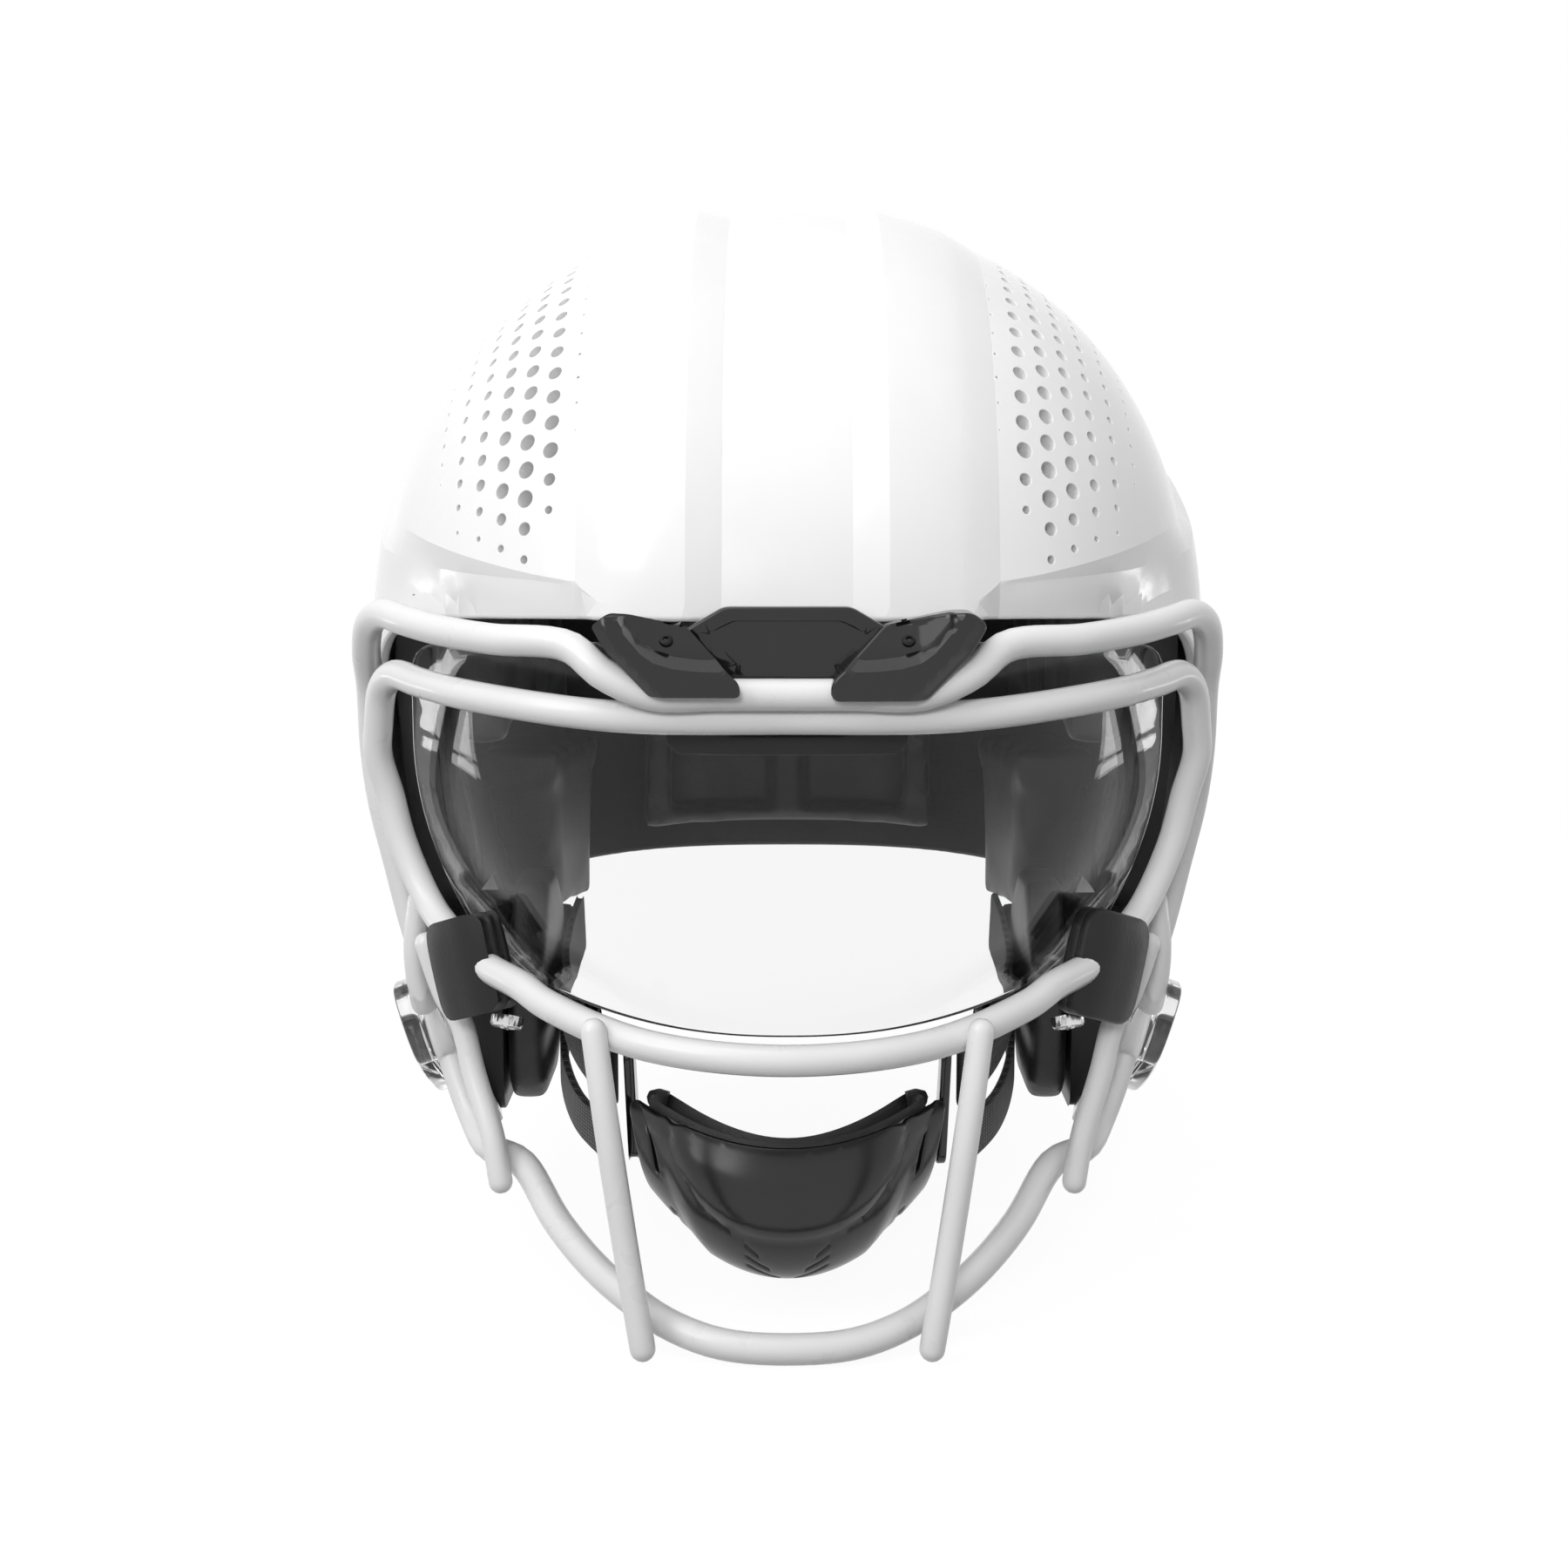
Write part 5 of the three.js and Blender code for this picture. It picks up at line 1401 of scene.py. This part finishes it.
def pads():
    head_pad("liner_front", "front_pad", groove=front_channels)
    head_pad("liner_crown", "crown_pad", voxel=4.5, groove=crown_channels)
    head_pad("liner_rear", "nape_pad", voxel=3, shrink=0.6, cap=1.4, groove=nape_lobes)
    cup_pad()
    for area in ("front", "crown", "rear"):
        buckling_layer(area)
    for name, _ in SIDES:
        head_pad(f"liner_{name}", f"temple_pad_{name}", voxel=4.5, groove=temple_channels)
        head_pad(f"ear_pad_{name}", f"rear_ear_pad_{name}", voxel=3, shrink=0.5, cap=1.2, rounds=3)
        head_pad(f"jaw_pad_{name}", f"cheek_pad_{name}", voxel=2.6, shrink=0.2, cap=0.9, rounds=3)
        buckling_layer(name)


JAW_PLATE = (-62, 37, 1, 91)  # from low Y and Z to high
JAW_PLATE_INNER_X, JAW_PLATE_LEAST = 82.8, 1.0  # its inner face, and how thin it may get
JAW_PLATE_DEPTH = 4.8  # of its outer face under the plain dome


def jaw_plates():
    """The plate behind each jaw pad. Flat points are (y, z)."""
    outline = denser(rectangle(*JAW_PLATE, (6, 6, 10, 6)), 3)
    for name, side in SIDES:
        def inner(flat):
            return columns(side * JAW_PLATE_INNER_X, flat[:, 0], flat[:, 1])

        def against_shell(flat):
            hit = on_the_side(side, flat[:, 0], flat[:, 1], JAW_PLATE_DEPTH)
            hit[:, 0] = side * np.maximum(np.abs(hit[:, 0]), JAW_PLATE_INNER_X + JAW_PLATE_LEAST)
            return hit
        shape = rounded_sheet(outline, inner, back=against_shell, rounding=0.45)
        make_object(f"cheek_plate_{name}", shape, HARD, "helmet", [f"jaw_plate_{name}"],
                    sharp=40)


# ---- stage, in metres ----------------------------------------------------------------------
CAMERA_DISTANCE, CAMERA_HEIGHT, CAMERA_SHIFT = -0.680, 0.224, -0.0022
CAMERA_TILT = 8.3  # degrees down
BRIGHTEST_WAY = (-0.30, -0.50, 0.81)  # where the backdrop is brightest
FLOOR_REACH = 30.0


def camera():
    data = bpy.data.cameras.new("camera")
    data.lens, data.sensor_width = 50, 36
    data.shift_x = CAMERA_SHIFT
    data.clip_start = 0.01
    obj = new_object("camera", data)
    obj.location = (0, CAMERA_DISTANCE + HEAD_SHIFT_Y * MM, CAMERA_HEIGHT)
    obj.rotation_euler = (math.radians(90 - CAMERA_TILT), 0, 0)
    bpy.context.scene.camera = obj


def add_light(name, kind, place, target, power):
    """A light in metres and watts that faces a target."""
    data = bpy.data.lights.new(name, kind)
    data.energy = power
    obj = new_object(name, data)
    obj.location = place
    obj.rotation_euler = (Vector(target) - Vector(place)).to_track_quat("-Z", "Y").to_euler()
    return obj


def area_light(name, place, target, power, width, height):
    data = add_light(name, "AREA", place, target, power).data
    data.shape = "RECTANGLE"
    data.size, data.size_y = width, height


def spot_light(name, place, target, power, degrees):
    """A soft cone that fades out towards the chin, without a spot of its own in the glossy parts."""
    obj = add_light(name, "SPOT", place, target, power)
    obj.data.spot_size, obj.data.spot_blend = math.radians(degrees), 1.0
    obj.data.shadow_soft_size = 0.2
    obj.visible_glossy = False
    obj.visible_transmission = False


def studio():
    """A white backdrop that lights the helmet from above and in front more than from the sides."""
    scene = bpy.context.scene
    scene.view_settings.view_transform = "Standard"
    world = bpy.data.worlds.new("world")
    scene.world = world
    world.use_nodes = True
    tree = Tree(world.node_tree)
    facing = tree.add("ShaderNodeVectorMath")
    facing.operation = "DOT_PRODUCT"
    facing.inputs[1].default_value = BRIGHTEST_WAY
    tree.link(tree.add("ShaderNodeTexCoord").outputs["Generated"], facing.inputs[0])
    level = tree.between(facing.outputs["Value"], 0.16, 0.88, -0.35, 1.0)
    strength = tree.add("ShaderNodeMix", Factor=tree.seen_or_mirrored(), A=level, B=1.0)
    tree.fill(world.node_tree.nodes["Background"],
              {"Color": (1, 1, 1, 1), "Strength": strength.outputs["Result"]})
    area_light("key", (-1.3, -1.3, 1.2), (0, 0, 0.18), 8.5, 0.9, 0.9)
    area_light("top", (-0.35, -0.35, 1.0), (0, -0.05, 0.2), 1.7, 0.6, 0.6)
    spot_light("front", (-0.22, -1.7, 0.8), (0, -0.1, 0.25), 46, 27)
    for _, side in SIDES:
        for row in range(3):
            place = (side * 1.08, 0.32, 0.012 + 0.034 * row)
            area_light("window", place, (side * 0.1, -0.1, 0.15), 0.14, 0.34, 0.026)


def floor():
    """A white floor that gives matt surfaces little light from below."""
    mesh = bpy.data.meshes.new("floor")
    corners = [(-FLOOR_REACH, -FLOOR_REACH, 0), (FLOOR_REACH, -FLOOR_REACH, 0), (FLOOR_REACH, FLOOR_REACH, 0),
               (-FLOOR_REACH, FLOOR_REACH, 0)]
    mesh.from_pydata(corners, [], [(0, 1, 2, 3)])
    n = Nodes("floor_white")
    glow = n.between(n.seen_or_mirrored(), 0.0, 0.93, 0.0, 1.0)
    mesh.materials.append(n.sockets(Base_Color=(0.12, 0.12, 0.12, 1), Roughness=0.9, Specular_IOR_Level=0.0,
                                    Emission_Color=(1, 1, 1, 1), Emission_Strength=glow))
    obj = new_object("floor", mesh)
    obj.location.z = -0.0005  # just under the lowest bar


camera()
studio()
floor()
outer_shell()
arch_shell()
mask_bars()
front_plate()
brow_clips()
rear_plate()
side_mounts()
visor()
visor_trim()
visor_clamps()
chin_cup()
chin_straps()
jaw_plates()
pads()
